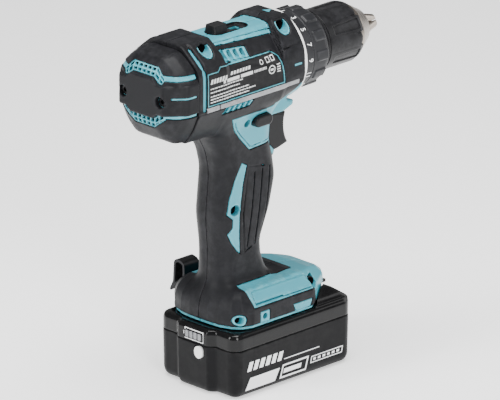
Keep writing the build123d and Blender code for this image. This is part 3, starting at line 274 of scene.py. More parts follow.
def body_field(x, v, z):
    """Outside of the handle, head and foot together."""
    solid = smooth_min(head_field(x, v, z), grip_field(x, v, z), 9.0)
    solid = smooth_min(solid, foot_field(x, v, z), 8.0)
    solid = smooth_min(solid, smooth_min(nose_field(x, v, z), guard_field(x, v, z), 1.0), 2.0)
    solid = smooth_max(solid, 46.3 - z, 0.8)
    return solid


# where the hard housing shows through the soft skin: outlines seen from the side, as (x, z)
TRIGGER_PANEL = [(-48, 194), (-40.5, 183.4), (-33, 174.4), (-24, 165), (-4, 166.3), (3, 153), (6.5, 154),
                 (7, 158), (1, 166), (1, 180), (30, 180), (30, 207), (13.2, 207), (4, 196), (-15, 193.3)]
GRIP_INSERT = [(-30.4, 157), (-25.6, 154.4), (-29.4, 142), (-31.6, 129), (-32.6, 121), (-32.4, 110),
               (-31, 92.5),
               (-34.6, 96), (-39, 102.5), (-41.6, 108.5), (-38.4, 113), (-38.6, 119), (-42.6, 122.5),
               (-40.6, 134), (-36.6, 146)]
FOOT_WINDOW = [(-0.5, 54.2), (17.5, 54.2), (15, 48.6), (2, 47.6)]
NOSE_TIP = [(-8, 180), (30, 180), (30, 196), (-8, 196)]
SCREWS = [(-68, AXIS_Z + 27), (4, AXIS_Z + 26), (-28.5, 185.5), (-36.5, 125), (-46.5, 53.5), (23, 62)]


def circle_field(x, z, at, radius):
    return np.sqrt((x - at[0]) ** 2 + (z - at[1]) ** 2) - radius


def hard_field(x, v, z, wells=True):
    """Negative where the hard housing reaches the surface."""
    side = np.minimum(outline_field(x, z, TRIGGER_PANEL), outline_field(x, z, GRIP_INSERT))
    side = np.minimum(side, outline_field(x, z, FOOT_WINDOW))
    side = np.minimum(side, np.maximum(outline_field(x, z, NOSE_TIP), 2.0 - v))
    for at, rim, start in zip(SCREWS, (5.2, 5.2, 0.1, 4.8, 3.9, 0.1) if wells else (0.1,) * 6,
                              (16.5, 15.5, 3.0, 3.0, 3.0, 3.0)):
        side = np.minimum(side, np.maximum(circle_field(x, z, at, rim), start - v))
    window = outline_field(x, z, [(-57.2, 237.0), (-33.4, 234.6), (-32.0, 240.4), (-55.6, 242.8)])
    side = np.minimum(side, np.maximum(window, 19.0 - v))
    window = outline_field(x, z, [(-61.5, 202.4), (-36.5, 202.4), (-33.8, 206.7), (-58.8, 206.7)])
    side = np.minimum(side, np.maximum(window, 19.0 - v))
    boss = np.maximum(np.abs(x + 27.0), np.abs(z - 52.6)) - 4.2
    side = np.minimum(side, boss)
    side = np.maximum(side, 3.0 - v)
    top_front = -5.2 + collar_bow(x, v)
    panel = np.maximum(np.maximum(-54.5 - x, x - top_front), np.maximum(v - 17.3, 232.0 - z))
    facet = AXIS_Z + 25.3 - (x + 54) * 0.056
    panel = np.maximum(panel, facet - z - 0.2)
    flange = z - (48.9 - 0.4 * np.clip((x + 30) / 40, 0, 1))
    chamfer = np.maximum(np.maximum(-36.8 - x, x - 30.0), np.maximum(60.6 - z, 22.0 - v))
    skirt = np.sqrt(np.maximum(np.abs(x + 20) - 33, 0) ** 2 + np.maximum(np.abs(v) - 11, 0) ** 2) - 5.0
    front_top = np.maximum(np.maximum(22.0 - x + 0.6 * (61 - np.minimum(z, 61)), 12.0 - x), -8.0 + 0 * v)
    crown = np.maximum(np.maximum(-skirt, 61.2 - z), -36.8 - x)
    crown = np.maximum(crown, z - foot_top(x) - 1.2)
    nose = 24.5 - x - 0.2 * (z - 50)
    foot = np.minimum(np.minimum(chamfer, crown), np.minimum(nose, front_top))
    foot = np.maximum(foot, z - 78.0)
    foot = np.maximum(foot, -(26.5 - x + 0 * v) - 60)
    low = np.minimum(flange, foot)
    return np.minimum(np.minimum(side, panel), low)


SELECTOR_MIDDLE = -29.0
RECESS_FLOOR = AXIS_Z + 25.2


def selector_slot(x, v, z):
    hole = np.sqrt(np.maximum(np.abs(x - SELECTOR_MIDDLE) - 10, 0) ** 2 + v * v) - 7.2
    return np.maximum(hole, RECESS_FLOOR - z)


def openings_field(x, v, z):
    """Everything that is cut through or into both housing halves."""
    trigger = box_field(x, v, z, (-6.5, -9.4, 155.1), (30, 9.4, 180.4))
    lever = np.sqrt(np.maximum(np.abs(x + 16.6) - 3.4, 0) ** 2 + (z - 185.5) ** 2) - 4.3
    lever = np.maximum(lever, 1.0 - np.abs(v))
    rail = box_field(x, v, z, (-41.5, -20.6, 30), (80, 20.6, 54.6))
    front = box_field(x, v, z, (40, -17, 30), (80, 17, 54.6))
    slot = np.minimum(selector_slot(x, v, z), box_field(x, v, z, (-41, -4.5, AXIS_Z + 20), (-17, 4.5, 262)))
    bore = np.sqrt(v * v + (z - AXIS_Z) ** 2) - 23.65
    bore = np.maximum(bore, -35.0 - x)
    cuts = trigger
    for other in (lever, rail, front, slot, bore):
        cuts = np.minimum(cuts, other)
    for at in SCREWS:
        cuts = np.minimum(cuts, circle_field(x, z, at, 1.95))
    hook = np.maximum(circle_field(x, z, (-27.0, 53.0), 2.0), 23.0 - np.abs(v))
    return np.minimum(cuts, hook)


def vents_field(x, v, z):
    """Slots over the gear case, under the rating plate and beside the rear cover."""
    vents = None
    for row in range(4):
        centre = -54.4 + 6.0 * row
        lean = (z - 239.5) * 0.25
        slot = box_field(x - lean, v, z, (centre - 1.9, 18.0, 237.2 - 0.6 * row),
                         (centre + 1.9, 40.0, 241.8 - 0.6 * row))
        vents = slot if vents is None else np.minimum(vents, slot)
    for row in range(5):
        centre = -58.6 + 5.0 * row
        slot = box_field(x - (z - 204.5) * 0.5, v, z, (centre - 1.7, 20.0, 202.6),
                         (centre + 1.5, 40.0, 206.6), 0.8)
        vents = np.minimum(vents, slot)
    louvre = rod_field(x, v, z, (-79.0, 13.0, 253.6), (-79.0, 31.5, 237.6), 1.4)
    vents = np.minimum(vents, louvre)
    upright = box_field(x, v, z, (-79.6, 29.5, 209.0), (-77.8, 40.0, 236.0), 0.7)
    return np.minimum(vents, upright)


def line_grooves(x, v, z):
    """Fine grooves pressed into the soft skin."""
    paths = [[(-60, 28.6, 237.6), (-6, 28.6, 232.7), (12.5, 28.9, 235.2)],
             [(-58, 17.5, 246.0), (-58, 29.5, 238.2)],
             [(-84, 31.9, 207.0), (-60, 31.4, 207.3)],
             [(-84, 30, 206), (-95, 15, 178)],
             [(-26, 17.0, 153.6), (-12, 16.4, 151.0), (8, 8, 147.5)],
             [(-24.5, 17.0, 152.0), (-29.5, 16.4, 121.0), (-27, 15.4, 93.0), (-8, 13.0, 101)]]
    grooves = None
    for path in paths:
        for start, end in zip(path[:-1], path[1:]):
            rod = rod_field(x, v, z, start, end, 0.55)
            grooves = rod if grooves is None else np.minimum(grooves, rod)
    for offset in (0.0, 7.0, 14.0):
        lean = (z - 122) * 0.12
        stripe = np.maximum(np.abs(x + 21.5 - offset - lean) - 0.42, np.abs(z - 122 - offset * 0.1) - 26.0)
        grooves = np.minimum(grooves, np.maximum(stripe, 8.0 - v))
    return grooves


def plate_area(x, z):
    return outline_field(x, z, [(-76, 210.8), (-4.8, 210.8), (-4.8, 217), (-7, 229.5), (-12, 233.2),
                                (-64, 236.2),
                                (-66.5, 233.6), (-76, 233.6)])


# ---- sampled solids to meshes --------------------------------------------------------------------
EDGE_PAIRS = [(0, 1), (0, 2), (0, 4), (1, 3), (1, 5), (2, 3), (2, 6), (3, 7), (4, 5), (4, 6), (5, 7), (6, 7)]


def field_gradient(field, points, step):
    x, y, z = points.T
    return np.stack([field(x + step, y, z) - field(x - step, y, z),
                     field(x, y + step, z) - field(x, y - step, z),
                     field(x, y, z + step) - field(x, y, z - step)], axis=1) / (2 * step)


def net_surface(field, low, high, cell):
    """Closed quad mesh on the zero surface of a field."""
    axes = [np.arange(a - 1.5 * cell, b + 2.5 * cell, cell, dtype=np.float32) for a, b in zip(low, high)]
    shape = tuple(len(a) for a in axes)
    gx, gy, gz = axes[0][:, None, None], axes[1][None, :, None], axes[2][None, None, :]
    values = np.empty(shape, np.float32)
    for start in range(0, shape[0], 48):
        part = slice(start, start + 48)
        values[part] = np.broadcast_to(field(gx[part], gy, gz), (len(axes[0][part]),) + shape[1:])
    values[0], values[-1] = np.maximum(values[0], cell), np.maximum(values[-1], cell)
    values[:, 0], values[:, -1] = np.maximum(values[:, 0], cell), np.maximum(values[:, -1], cell)
    values[:, :, 0], values[:, :, -1] = np.maximum(values[:, :, 0], cell), np.maximum(values[:, :, -1], cell)
    values[np.abs(values) < 1e-6] = 1e-6
    solid = values < 0
    count = np.zeros(tuple(n - 1 for n in shape), np.int8)
    corners = [(i, j, k) for i in (0, 1) for j in (0, 1) for k in (0, 1)]
    for i, j, k in corners:
        count += solid[i:shape[0] - 1 + i, j:shape[1] - 1 + j, k:shape[2] - 1 + k]
    active = np.argwhere((count > 0) & (count < 8))
    number = np.full(count.shape, -1, np.int32)
    number[tuple(active.T)] = np.arange(len(active))
    corner_values = np.stack([values[tuple((active + c).T)] for c in corners], axis=1)
    total = np.zeros((len(active), 3))
    hits = np.zeros(len(active))
    for a, b in EDGE_PAIRS:
        fa, fb = corner_values[:, a], corner_values[:, b]
        crossing = (fa < 0) != (fb < 0)
        t = np.where(crossing, fa / np.where(crossing, fa - fb, 1.0), 0.0)
        spot = np.array(corners[a]) + t[:, None] * (np.array(corners[b]) - np.array(corners[a]))
        total += spot * crossing[:, None]
        hits += crossing
    points = np.array([a[0] for a in axes]) + (active + total / hits[:, None]) * cell
    start_points = points.copy()
    for _ in range(3):
        slope = field_gradient(field, points.astype(np.float32), 0.15 * cell)
        size = np.maximum((slope ** 2).sum(axis=1), 0.05)
        value = field(*points.astype(np.float32).T)
        points = points - slope * np.clip(value / size, -0.5 * cell, 0.5 * cell)[:, None]
        points = start_points + np.clip(points - start_points, -0.6 * cell, 0.6 * cell)
    quads = []
    for axis in range(3):
        u, w = (axis + 1) % 3, (axis + 2) % 3
        first = np.moveaxis(solid, axis, 0)
        change = np.argwhere(first[:-1] != first[1:])
        order = [0, 0, 0]
        order[axis] = 0
        rest = [a for a in range(3) if a != axis]
        place = np.zeros_like(change)
        place[:, axis] = change[:, 0]
        place[:, rest[0]] = change[:, 1]
        place[:, rest[1]] = change[:, 2]
        inside_first = solid[tuple(place.T)]
        step_u, step_w = np.zeros(3, int), np.zeros(3, int)
        step_u[u], step_w[w] = 1, 1
        ring = [number[tuple((place - step_u - step_w).T)], number[tuple((place - step_w).T)],
                number[tuple(place.T)], number[tuple((place - step_u).T)]]
        faces = np.stack(ring, axis=1)
        faces[~inside_first] = faces[~inside_first][:, ::-1]
        quads.append(faces)
    return points, np.concatenate(quads)


def mesh_from_arrays(name, points, faces):
    mesh = bpy.data.meshes.new(name)
    mesh.vertices.add(len(points))
    mesh.vertices.foreach_set("co", (points * MM).astype(np.float32).ravel())
    sides = faces.shape[1]
    mesh.loops.add(len(faces) * sides)
    mesh.loops.foreach_set("vertex_index", faces.astype(np.int32).ravel())
    mesh.polygons.add(len(faces))
    mesh.polygons.foreach_set("loop_start", np.arange(0, len(faces) * sides, sides, dtype=np.int32))
    mesh.polygons.foreach_set("use_smooth", np.ones(len(faces), bool))
    mesh.update(calc_edges=True)
    mesh.validate()
    return mesh


def thinned(mesh, most):
    """The same mesh with at most so many triangles."""
    triangles = sum(len(p.vertices) - 2 for p in mesh.polygons) if len(mesh.polygons) < 10 else \
        len(mesh.loops) - 2 * len(mesh.polygons)
    if triangles <= most:
        return mesh
    holder = bpy.data.objects.new("holder", mesh)
    bpy.context.scene.collection.objects.link(holder)
    modifier = holder.modifiers.new("thin", "DECIMATE")
    modifier.ratio = most / triangles
    graph = bpy.context.evaluated_depsgraph_get()
    result = bpy.data.meshes.new_from_object(holder.evaluated_get(graph))
    bpy.data.objects.remove(holder)
    return result


def add_surface_facts(mesh, field, reach=1.3):
    """Exact normals from the field, and an edge attribute that is high on outer edges."""
    points = np.empty(len(mesh.vertices) * 3, np.float32)
    mesh.vertices.foreach_get("co", points)
    points = points.reshape(-1, 3) / MM
    centre = field(*points.T)
    x, y, z = points.T
    around = (field(x + reach, y, z) + field(x - reach, y, z) + field(x, y + reach, z) + field(x, y - reach,
                                                                                               z)
              + field(x, y, z + reach) + field(x, y, z - reach))
    bend = (around - 6 * centre) / (reach * reach)
    edge = np.clip(bend * 1.2, 0, 1).astype(np.float32)
    mesh.attributes.new("edge", "FLOAT", "POINT").data.foreach_set("value", edge)
    normals = field_gradient(field, points, 0.12)
    normals /= np.maximum(np.linalg.norm(normals, axis=1), 1e-6)[:, None]
    mesh.normals_split_custom_set_from_vertices(normals.tolist())


PIECES = {}


def place_piece(name, mesh, body, nodes, material):
    obj = bpy.data.objects.new(name, mesh)
    bpy.context.scene.collection.objects.link(obj)
    mesh.materials.clear()
    for entry in (material if isinstance(material, (list, tuple)) else [material]):
        mesh.materials.append(entry)
    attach(obj, body)
    if nodes:
        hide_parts(*nodes)
    PIECES[name] = obj
    return obj


def field_mesh(name, field, low, high, cell=CELL, most=180000):
    points, faces = net_surface(field, low, high, cell)
    mesh = thinned(mesh_from_arrays(name, points, faces), most)
    add_surface_facts(mesh, field)
    return mesh


# ---- shared shader effects -----------------------------------------------------------------------
def new_group(name, inputs, outputs):
    group = bpy.data.node_groups.new(name, "ShaderNodeTree")
    for label, kind, value in inputs:
        socket = group.interface.new_socket(name=label, in_out="INPUT", socket_type=kind)
        socket.default_value = value
    for label, kind in outputs:
        group.interface.new_socket(name=label, in_out="OUTPUT", socket_type=kind)
    return group, group.nodes.new("NodeGroupInput"), group.nodes.new("NodeGroupOutput")


def noise_node(tree, scale, detail=3.0, rough=0.6):
    node = tree.nodes.new("ShaderNodeTexNoise")
    node.inputs["Scale"].default_value = scale
    node.inputs["Detail"].default_value = detail
    node.inputs["Roughness"].default_value = rough
    return node


def range_node(tree, low, high, to_low=0.0, to_high=1.0):
    node = tree.nodes.new("ShaderNodeMapRange")
    node.inputs["From Min"].default_value = low
    node.inputs["From Max"].default_value = high
    node.inputs["To Min"].default_value = to_low
    node.inputs["To Max"].default_value = to_high
    return node


def maths(tree, operation, first, second):
    node = tree.nodes.new("ShaderNodeMath")
    node.operation = operation
    for socket, value in ((node.inputs[0], first), (node.inputs[1], second)):
        if isinstance(value, bpy.types.NodeSocket):
            tree.links.new(value, socket)
        else:
            socket.default_value = value
    return node.outputs[0]


def make_grain_group():
    """Moulded-in grain: a fine pebble height, and slow patches of tone."""
    group, inside, outside = new_group("moulded_grain", [("Grain Scale", "NodeSocketFloat", 1500.0)],
                                       [("Height", "NodeSocketFloat"), ("Patches", "NodeSocketFloat")])
    links = group.links
    place = group.nodes.new("ShaderNodeTexCoord")
    pebble = group.nodes.new("ShaderNodeTexVoronoi")
    pebble.feature = "SMOOTH_F1"
    fine = noise_node(group, 1.0)
    slow = noise_node(group, 38.0, 4.0, 0.55)
    for texture in (pebble, fine, slow):
        links.new(place.outputs["Object"], texture.inputs["Vector"])
    links.new(inside.outputs["Grain Scale"], pebble.inputs["Scale"])
    links.new(maths(group, "MULTIPLY", inside.outputs["Grain Scale"], 2.3), fine.inputs["Scale"])
    links.new(maths(group, "ADD", pebble.outputs["Distance"], fine.outputs["Fac"]), outside.inputs["Height"])
    links.new(slow.outputs["Fac"], outside.inputs["Patches"])
    return group


def finish_mask(group, inside, outside, source, noise, low, high):
    """Mask of a source broken up by noise, times the group's Amount."""
    place = group.nodes.new("ShaderNodeTexCoord")
    group.links.new(place.outputs["Object"], noise.inputs["Vector"])
    patchy = range_node(group, low, high)
    group.links.new(noise.outputs["Fac"], patchy.inputs["Value"])
    broken = maths(group, "MULTIPLY", source, patchy.outputs["Result"])
    group.links.new(maths(group, "MULTIPLY", broken, inside.outputs["Amount"]), outside.inputs["Mask"])
    return group


def make_wear_group():
    """Rubbed outer edges, broken up by noise."""
    group, inside, outside = new_group("edge_wear", [("Amount", "NodeSocketFloat", 0.5)],
                                       [("Mask", "NodeSocketFloat")])
    edge = group.nodes.new("ShaderNodeAttribute")
    edge.attribute_name = "edge"
    return finish_mask(group, inside, outside, edge.outputs["Fac"], noise_node(group, 170.0, 5.0, 0.7), 0.42, 0.62)


def make_dust_group():
    """Light dust that settles on what faces up."""
    group, inside, outside = new_group("settled_dust", [("Amount", "NodeSocketFloat", 0.1)],
                                       [("Mask", "NodeSocketFloat")])
    geometry = group.nodes.new("ShaderNodeNewGeometry")
    split = group.nodes.new("ShaderNodeSeparateXYZ")
    group.links.new(geometry.outputs["Normal"], split.inputs[0])
    up = range_node(group, 0.1, 1.0)
    group.links.new(split.outputs["Z"], up.inputs["Value"])
    return finish_mask(group, inside, outside, up.outputs["Result"], noise_node(group, 420.0, 4.0, 0.7), 0.4, 0.75)


GRAIN, WEAR, DUST = make_grain_group(), make_wear_group(), make_dust_group()


def group_node(tree, group, socket, value):
    node = tree.nodes.new("ShaderNodeGroup")
    node.node_tree = group
    node.inputs[socket].default_value = value
    return node


def colour_mix(tree, factor, first, second):
    node = tree.nodes.new("ShaderNodeMix")
    node.data_type = "RGBA"
    tree.links.new(factor, node.inputs["Factor"])
    for socket, value in ((node.inputs[6], first), (node.inputs[7], second)):
        if isinstance(value, bpy.types.NodeSocket):
            tree.links.new(value, socket)
        else:
            socket.default_value = (*value, 1.0)
    return node.outputs[2]


def value_mix(tree, factor, first, second):
    node = tree.nodes.new("ShaderNodeMix")
    tree.links.new(factor, node.inputs["Factor"])
    for socket, value in ((node.inputs[2], first), (node.inputs[3], second)):
        if isinstance(value, bpy.types.NodeSocket):
            tree.links.new(value, socket)
        else:
            socket.default_value = value
    return node.outputs[0]


def surface(name, colour, rough, grain=1500.0, depth=0.00002, vary=0.12, wear=0.5, worn=None, worn_rough=None,
            dust=0.08, metallic=0.0, coat=0.0, level=0.5, brush=None, transmission=0.0):
    """Moulded, cast or turned finish: patches of tone, grain, worn edges and settled dust."""
    material = bpy.data.materials.new(name)
    material.use_nodes = True
    tree = material.node_tree
    shader = tree.nodes["Principled BSDF"]
    shader.inputs["Metallic"].default_value = metallic
    shader.inputs["Coat Weight"].default_value = coat
    shader.inputs["Coat Roughness"].default_value = 0.08
    shader.inputs["Specular IOR Level"].default_value = level
    shader.inputs["Transmission Weight"].default_value = transmission
    grains = group_node(tree, GRAIN, "Grain Scale", grain)
    rubbed = group_node(tree, WEAR, "Amount", wear)
    settled = group_node(tree, DUST, "Amount", dust)
    dark = tuple(c * (1 - vary) for c in colour)
    light = tuple(min(1.0, c * (1 + vary)) for c in colour)
    patches = range_node(tree, 0.35, 0.65)
    tree.links.new(grains.outputs["Patches"], patches.inputs["Value"])
    tone = colour_mix(tree, patches.outputs["Result"], dark, light)
    worn = worn or tuple(min(1.0, c * 1.5 + 0.03) for c in colour)
    tone = colour_mix(tree, rubbed.outputs["Mask"], tone, worn)
    tone = colour_mix(tree, settled.outputs["Mask"], tone, (0.42, 0.40, 0.37))
    tree.links.new(tone, shader.inputs["Base Color"])
    spread = range_node(tree, 0.3, 0.7, rough * 0.85, min(1.0, rough * 1.18))
    tree.links.new(grains.outputs["Patches"], spread.inputs["Value"])
    gloss = value_mix(tree, rubbed.outputs["Mask"], spread.outputs["Result"],
                      worn_rough if worn_rough is not None else rough * 0.6)
    gloss = value_mix(tree, settled.outputs["Mask"], gloss, 0.8)
    tree.links.new(gloss, shader.inputs["Roughness"])
    height = grains.outputs["Height"]
    if brush:
        place = tree.nodes.new("ShaderNodeTexCoord")
        stretch = tree.nodes.new("ShaderNodeMapping")
        stretch.inputs["Scale"].default_value = brush
        lines = noise_node(tree, 1.0, 4.0, 0.6)
        tree.links.new(place.outputs["Object"], stretch.inputs["Vector"])
        tree.links.new(stretch.outputs["Vector"], lines.inputs["Vector"])
        height = value_mix(tree, patches.outputs["Result"], lines.outputs["Fac"], lines.outputs["Fac"])
        streaks = range_node(tree, 0.3, 0.7, rough * 0.75, min(1.0, rough * 1.35))
        tree.links.new(lines.outputs["Fac"], streaks.inputs["Value"])
        tree.links.new(streaks.outputs["Result"], shader.inputs["Roughness"])
    bump = tree.nodes.new("ShaderNodeBump")
    bump.inputs["Strength"].default_value = 0.6
    bump.inputs["Distance"].default_value = depth
    tree.links.new(height, bump.inputs["Height"])
    tree.links.new(bump.outputs["Normal"], shader.inputs["Normal"])
    return material


TEAL = (0.040, 0.275, 0.345)
FINISHES = {
    "teal_plastic": surface("teal_plastic", TEAL, 0.36, 2300, 0.000008, 0.04, 0.35, (0.22, 0.56, 0.60), 0.3,
                            0.03),
    "black_rubber": surface("black_rubber", (0.006, 0.0062, 0.0075), 0.46, 1500, 0.00003, 0.2, 0.4,
                            (0.026, 0.026, 0.030), 0.36, 0.008, level=0.14),
    "black_plastic": surface("black_plastic", (0.006, 0.006, 0.007), 0.34, 2000, 0.00001, 0.12, 0.4,
                             (0.03, 0.03, 0.033), 0.3, 0.008, level=0.2),
    "grey_black_plastic": surface("grey_black_plastic", (0.011, 0.0115, 0.0135), 0.40, 1800, 0.000015, 0.15,
                                  0.6,
                                  (0.05, 0.05, 0.055), 0.3, 0.01, level=0.25),
    "gloss_black_plastic": surface("gloss_black_plastic", (0.003, 0.003, 0.0033), 0.14, 2500, 0.000002, 0.1,
                                   0.3,
                                   (0.02, 0.02, 0.02), 0.2, 0.006, coat=0.0, level=0.22),
    "battery_side_plastic": surface("battery_side_plastic", (0.003, 0.003, 0.0036), 0.40, 2100, 0.00001,
                                    0.15, 0.35,
                                    (0.03, 0.03, 0.03), 0.35, 0.008, level=0.12),
    "white_plastic": surface("white_plastic", (0.80, 0.81, 0.80), 0.38, 2300, 0.000006, 0.03, 0.3,
                             (0.70, 0.70, 0.68), 0.5, 0.04),
    "label_film": surface("label_film", (0.006, 0.006, 0.007), 0.30, 2600, 0.000003, 0.1, 0.2,
                          (0.03, 0.03, 0.03), 0.3, 0.01, level=0.14),
    "label_print": surface("label_print", (0.62, 0.63, 0.63), 0.45, 2600, 0.000003, 0.05, 0.2,
                           (0.5, 0.5, 0.5), 0.5, 0.04),
    "white_print": surface("white_print", (0.86, 0.87, 0.87), 0.42, 2600, 0.000003, 0.03, 0.1,
                           (0.7, 0.7, 0.7), 0.5, 0.03),
    # grey_strip: the light grey of the side ledge strips is a painted highlight; on the gauge lamps it is their
    # own grey
    "grey_strip": surface("grey_strip", (0.20, 0.205, 0.215), 0.40, 1800, 0.00001, 0.08, 0.5,
                          (0.4, 0.4, 0.41), 0.3, 0.05),
    "steel": surface("steel", (0.55, 0.55, 0.54), 0.28, 1200, 0.000004, 0.1, 0.2, (0.7, 0.7, 0.7), 0.2, 0.04,
                     metallic=1.0, brush=(120, 2600, 2600)),
    "nickel_steel": surface("nickel_steel", (0.36, 0.32, 0.28), 0.24, 1200, 0.000003, 0.08, 0.2,
                            (0.75, 0.72, 0.68), 0.15, 0.03, metallic=1.0, brush=(2600, 160, 160)),
    "blackened_steel": surface("blackened_steel", (0.02, 0.02, 0.022), 0.34, 1500, 0.000006, 0.2, 0.8,
                               (0.32, 0.31, 0.30), 0.25, 0.06, metallic=0.9, brush=(900, 900, 140)),
    "laminations": surface("laminations", (0.35, 0.34, 0.33), 0.35, 1500, 0.00001, 0.15, 0.2, None, 0.3, 0.03,
                           metallic=1.0, brush=(2200, 30, 30)),
    "magnet": surface("magnet", (0.10, 0.10, 0.11), 0.5, 900, 0.00002, 0.2, 0.2, None, 0.4, 0.04,
                      metallic=0.3),
    "copper": surface("copper", (0.62, 0.24, 0.10), 0.28, 1500, 0.00001, 0.15, 0.2, None, 0.2, 0.02,
                      metallic=1.0,
                      brush=(60, 2400, 2400)),
    "brass": surface("brass", (0.70, 0.52, 0.22), 0.27, 1500, 0.000005, 0.1, 0.2, None, 0.2, 0.02,
                     metallic=1.0,
                     brush=(1200, 1200, 120)),
    "carbon": surface("carbon", (0.03, 0.03, 0.032), 0.55, 1300, 0.00002, 0.2, 0.2, None, 0.4, 0.03,
                      metallic=0.2),
    "clear_lens": surface("clear_lens", (0.86, 0.88, 0.88), 0.12, 900, 0.000004, 0.03, 0.1, None, 0.1, 0.02,
                          coat=0.3),
    "cell_wrap": surface("cell_wrap", (0.05, 0.30, 0.16), 0.35, 1500, 0.000004, 0.08, 0.2, None, 0.3, 0.02),
    "circuit_board": surface("circuit_board", (0.02, 0.14, 0.07), 0.4, 700, 0.00001, 0.15, 0.2, None, 0.3,
                             0.03),
}


def finish_cad_nodes():
    """Give each carried-over CAD part its real finish, by the name of its material slot."""
    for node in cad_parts.values():
        for place in node.material_slots:
            word = place.material.name.split(".")[0] if place.material else "black_plastic"
            place.material = FINISHES.get(word, FINISHES["black_plastic"])
    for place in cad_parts["gauge_panel"].material_slots:
        place.material = FINISHES["gloss_black_plastic"]


# ---- housings and soft skin ----------------------------------------------------------------------
WELL_RADII = (4.2, 4.2, 2.9, 3.7, 2.6, 3.6)
BODY_LOW, BODY_HIGH = (-85.0, 0.0, 46.0), (53.0, 36.5, 252.5)


def rim_openings(x, v, z):
    return np.minimum(openings_field(x, v, z), vents_field(x, v, z))


def panel_grooves(x, v, z):
    """Fine lines on the bare panels: round the trigger panel, the foot's facet and the top panel."""
    rim = np.abs(outline_field(x, z, TRIGGER_PANEL) + 2.0) - 0.22
    rim = np.maximum(np.maximum(rim, 6.0 - v), np.maximum(z - 190.0, x + 2.0))
    facet = outline_field(x, z, [(-34.5, 61.8), (20, 61.8), (17, 69.0), (-32.5, 69.0)])
    facet = np.maximum(np.abs(facet) - 0.22, 20.0 - v)
    top = np.maximum(np.abs(v - 13.6) - 0.2, np.maximum(np.maximum(-54 - x, x + 4), 240.0 - z))
    return np.minimum(np.minimum(rim, facet), top)


def housing_field(x, v, z, wells):
    """Hard shell of one half, raised to the surface wherever the skin leaves it bare."""
    body = body_field(x, v, z)
    hard = hard_field(x, v, z, wells)
    shown = smooth_max(body + 0.25, hard + 0.12, 0.5)
    outer = smooth_min(shown, body + SKIN + 0.15, 0.5)
    shell = smooth_max(outer, -(body + SKIN + WALL), 0.5)
    for at in SCREWS:
        pillar = np.maximum(circle_field(x, z, at, 5.4), outer + 0.05)
        shell = np.minimum(shell, pillar)
    seat = box_field(x, v, z, (-48.5, -10, AXIS_Z + 22.5), (-9.5, 10, AXIS_Z + 24.9))
    shell = np.minimum(shell, seat)
    shell = cut(shell, rim_openings(x, v, z), 0.5)
    shell = cut(shell, box_field(x, v, z, (19.0, 14.0, 60.4), (27.0, 40.0, 66.6), 1.0), 0.5)
    shell = cut(shell, rod_field(x, v, z, (0.6, 16.5, 193.2), (3.4, 17.5, 195.4), 0.9), 0.3)
    shell = cut(shell, box_field(x, v, z, (-33.5, 32.4, 62.2), (-9.0, 40.0, 63.4), 0.3), 0.3)
    shell = cut(shell, panel_grooves(x, v, z), 0.4)
    if wells:
        for at, radius in zip(SCREWS, WELL_RADII):
            well = np.maximum(circle_field(x, z, at, radius), 7.0 - v)
            shell = cut(shell, well, 0.4)
    rail = box_field(x, v, z, (-38, 17.4, 48.8), (38, 21.5, 50.8), 0.4)
    shell = np.minimum(shell, rail)
    return smooth_max(shell, 0.12 - v, 0.35)


def skin_field(x, v, z, plate):
    """Soft overmould of one half."""
    body = body_field(x, v, z)
    skin = smooth_max(body, -(body + SKIN), 0.3)
    skin = smooth_max(skin, 0.12 - hard_field(x, v, z, plate), 0.8)
    skin = cut(skin, rim_openings(x, v, z) - 0.8, 0.6)
    skin = cut(skin, line_grooves(x, v, z), 0.5)
    if plate:
        skin = cut(skin, np.maximum(plate_area(x, z) - 0.15, 20.0 - v), 0.4)
    return smooth_max(skin, 0.12 - v, 0.35)


def make_housings():
    teal, rubber = FINISHES["teal_plastic"], FINISHES["black_rubber"]
    for side, sign in (("right", -1), ("left", 1)):
        def hard(x, y, z, sign=sign):
            return housing_field(x, y * sign, z, sign < 0)

        def soft(x, y, z, sign=sign):
            return skin_field(x, y * sign, z, sign < 0)
        low = (BODY_LOW[0], min(0, sign * BODY_HIGH[1]), BODY_LOW[2])
        high = (BODY_HIGH[0], max(0, sign * BODY_HIGH[1]), BODY_HIGH[2])
        mesh = field_mesh(f"{side}_housing_shell", hard, low, high)
        place_piece(f"{side}_housing_shell", mesh, "drill_body", [f"{side}_housing"], teal)
        mesh = field_mesh(f"{side}_soft_grip_skin", soft, low, high)
        place_piece(f"{side}_soft_grip_skin", mesh, "drill_body", [f"{side}_overmould"],
                    rubber)


# ---- rear cover ----------------------------------------------------------------------------------
def cover_body(x, v, z):
    solid = slope_lines(x, v, z, COVER_X, COVER_SECTIONS, 1.8, spread=4.0)
    solid = smooth_max(solid, COVER_X[0] - x, 2.0)
    return smooth_max(solid, x + 84.5, 0.6)


def cover_band(x, v, z):
    rise = np.clip((14.0 - v) / 3.5, 0, 1) * 3.2
    solid = np.abs(z - AXIS_Z) - (10.4 + rise * np.clip((-96.0 - x) / 4, 0, 1))
    solid = smooth_max(solid, -107.7 - x, 1.4)
    solid = smooth_max(solid, (v - 28.6) * 0.77 - (x + 98.0) * 0.64, 1.4)
    solid = smooth_max(solid, v - 31.6, 1.4)
    return smooth_max(solid, x + 84.5, 0.6)


UPPER_GRID = [(-11.4, 240.4), (11.4, 240.4), (18.8, 233.4), (17, 229.8), (13.3, 230.4), (9.5, 234),
              (-9.5, 234),
              (-13.3, 230.4), (-17, 229.8), (-18.8, 233.4)]
LOWER_GRID = [(-9, 198.5), (9, 198.5), (19.5, 206), (19, 209.5), (15, 209.3), (10.5, 206), (-10.5, 206),
              (-15, 209.3), (-19, 209.5), (-19.5, 206)]


def cover_hard(x, v, z):
    """Negative where the cover's hard shell shows."""
    grids = np.minimum(outline_field(v, z, UPPER_GRID), outline_field(v, z, LOWER_GRID))
    grids = np.maximum(grids, x + 90.0)
    strips = np.minimum(np.abs(z - 234.2) - 1.6, np.abs(z - 208.4) - 1.5)
    strips = np.maximum(strips, 15.0 - v)
    return np.minimum(grids, strips)


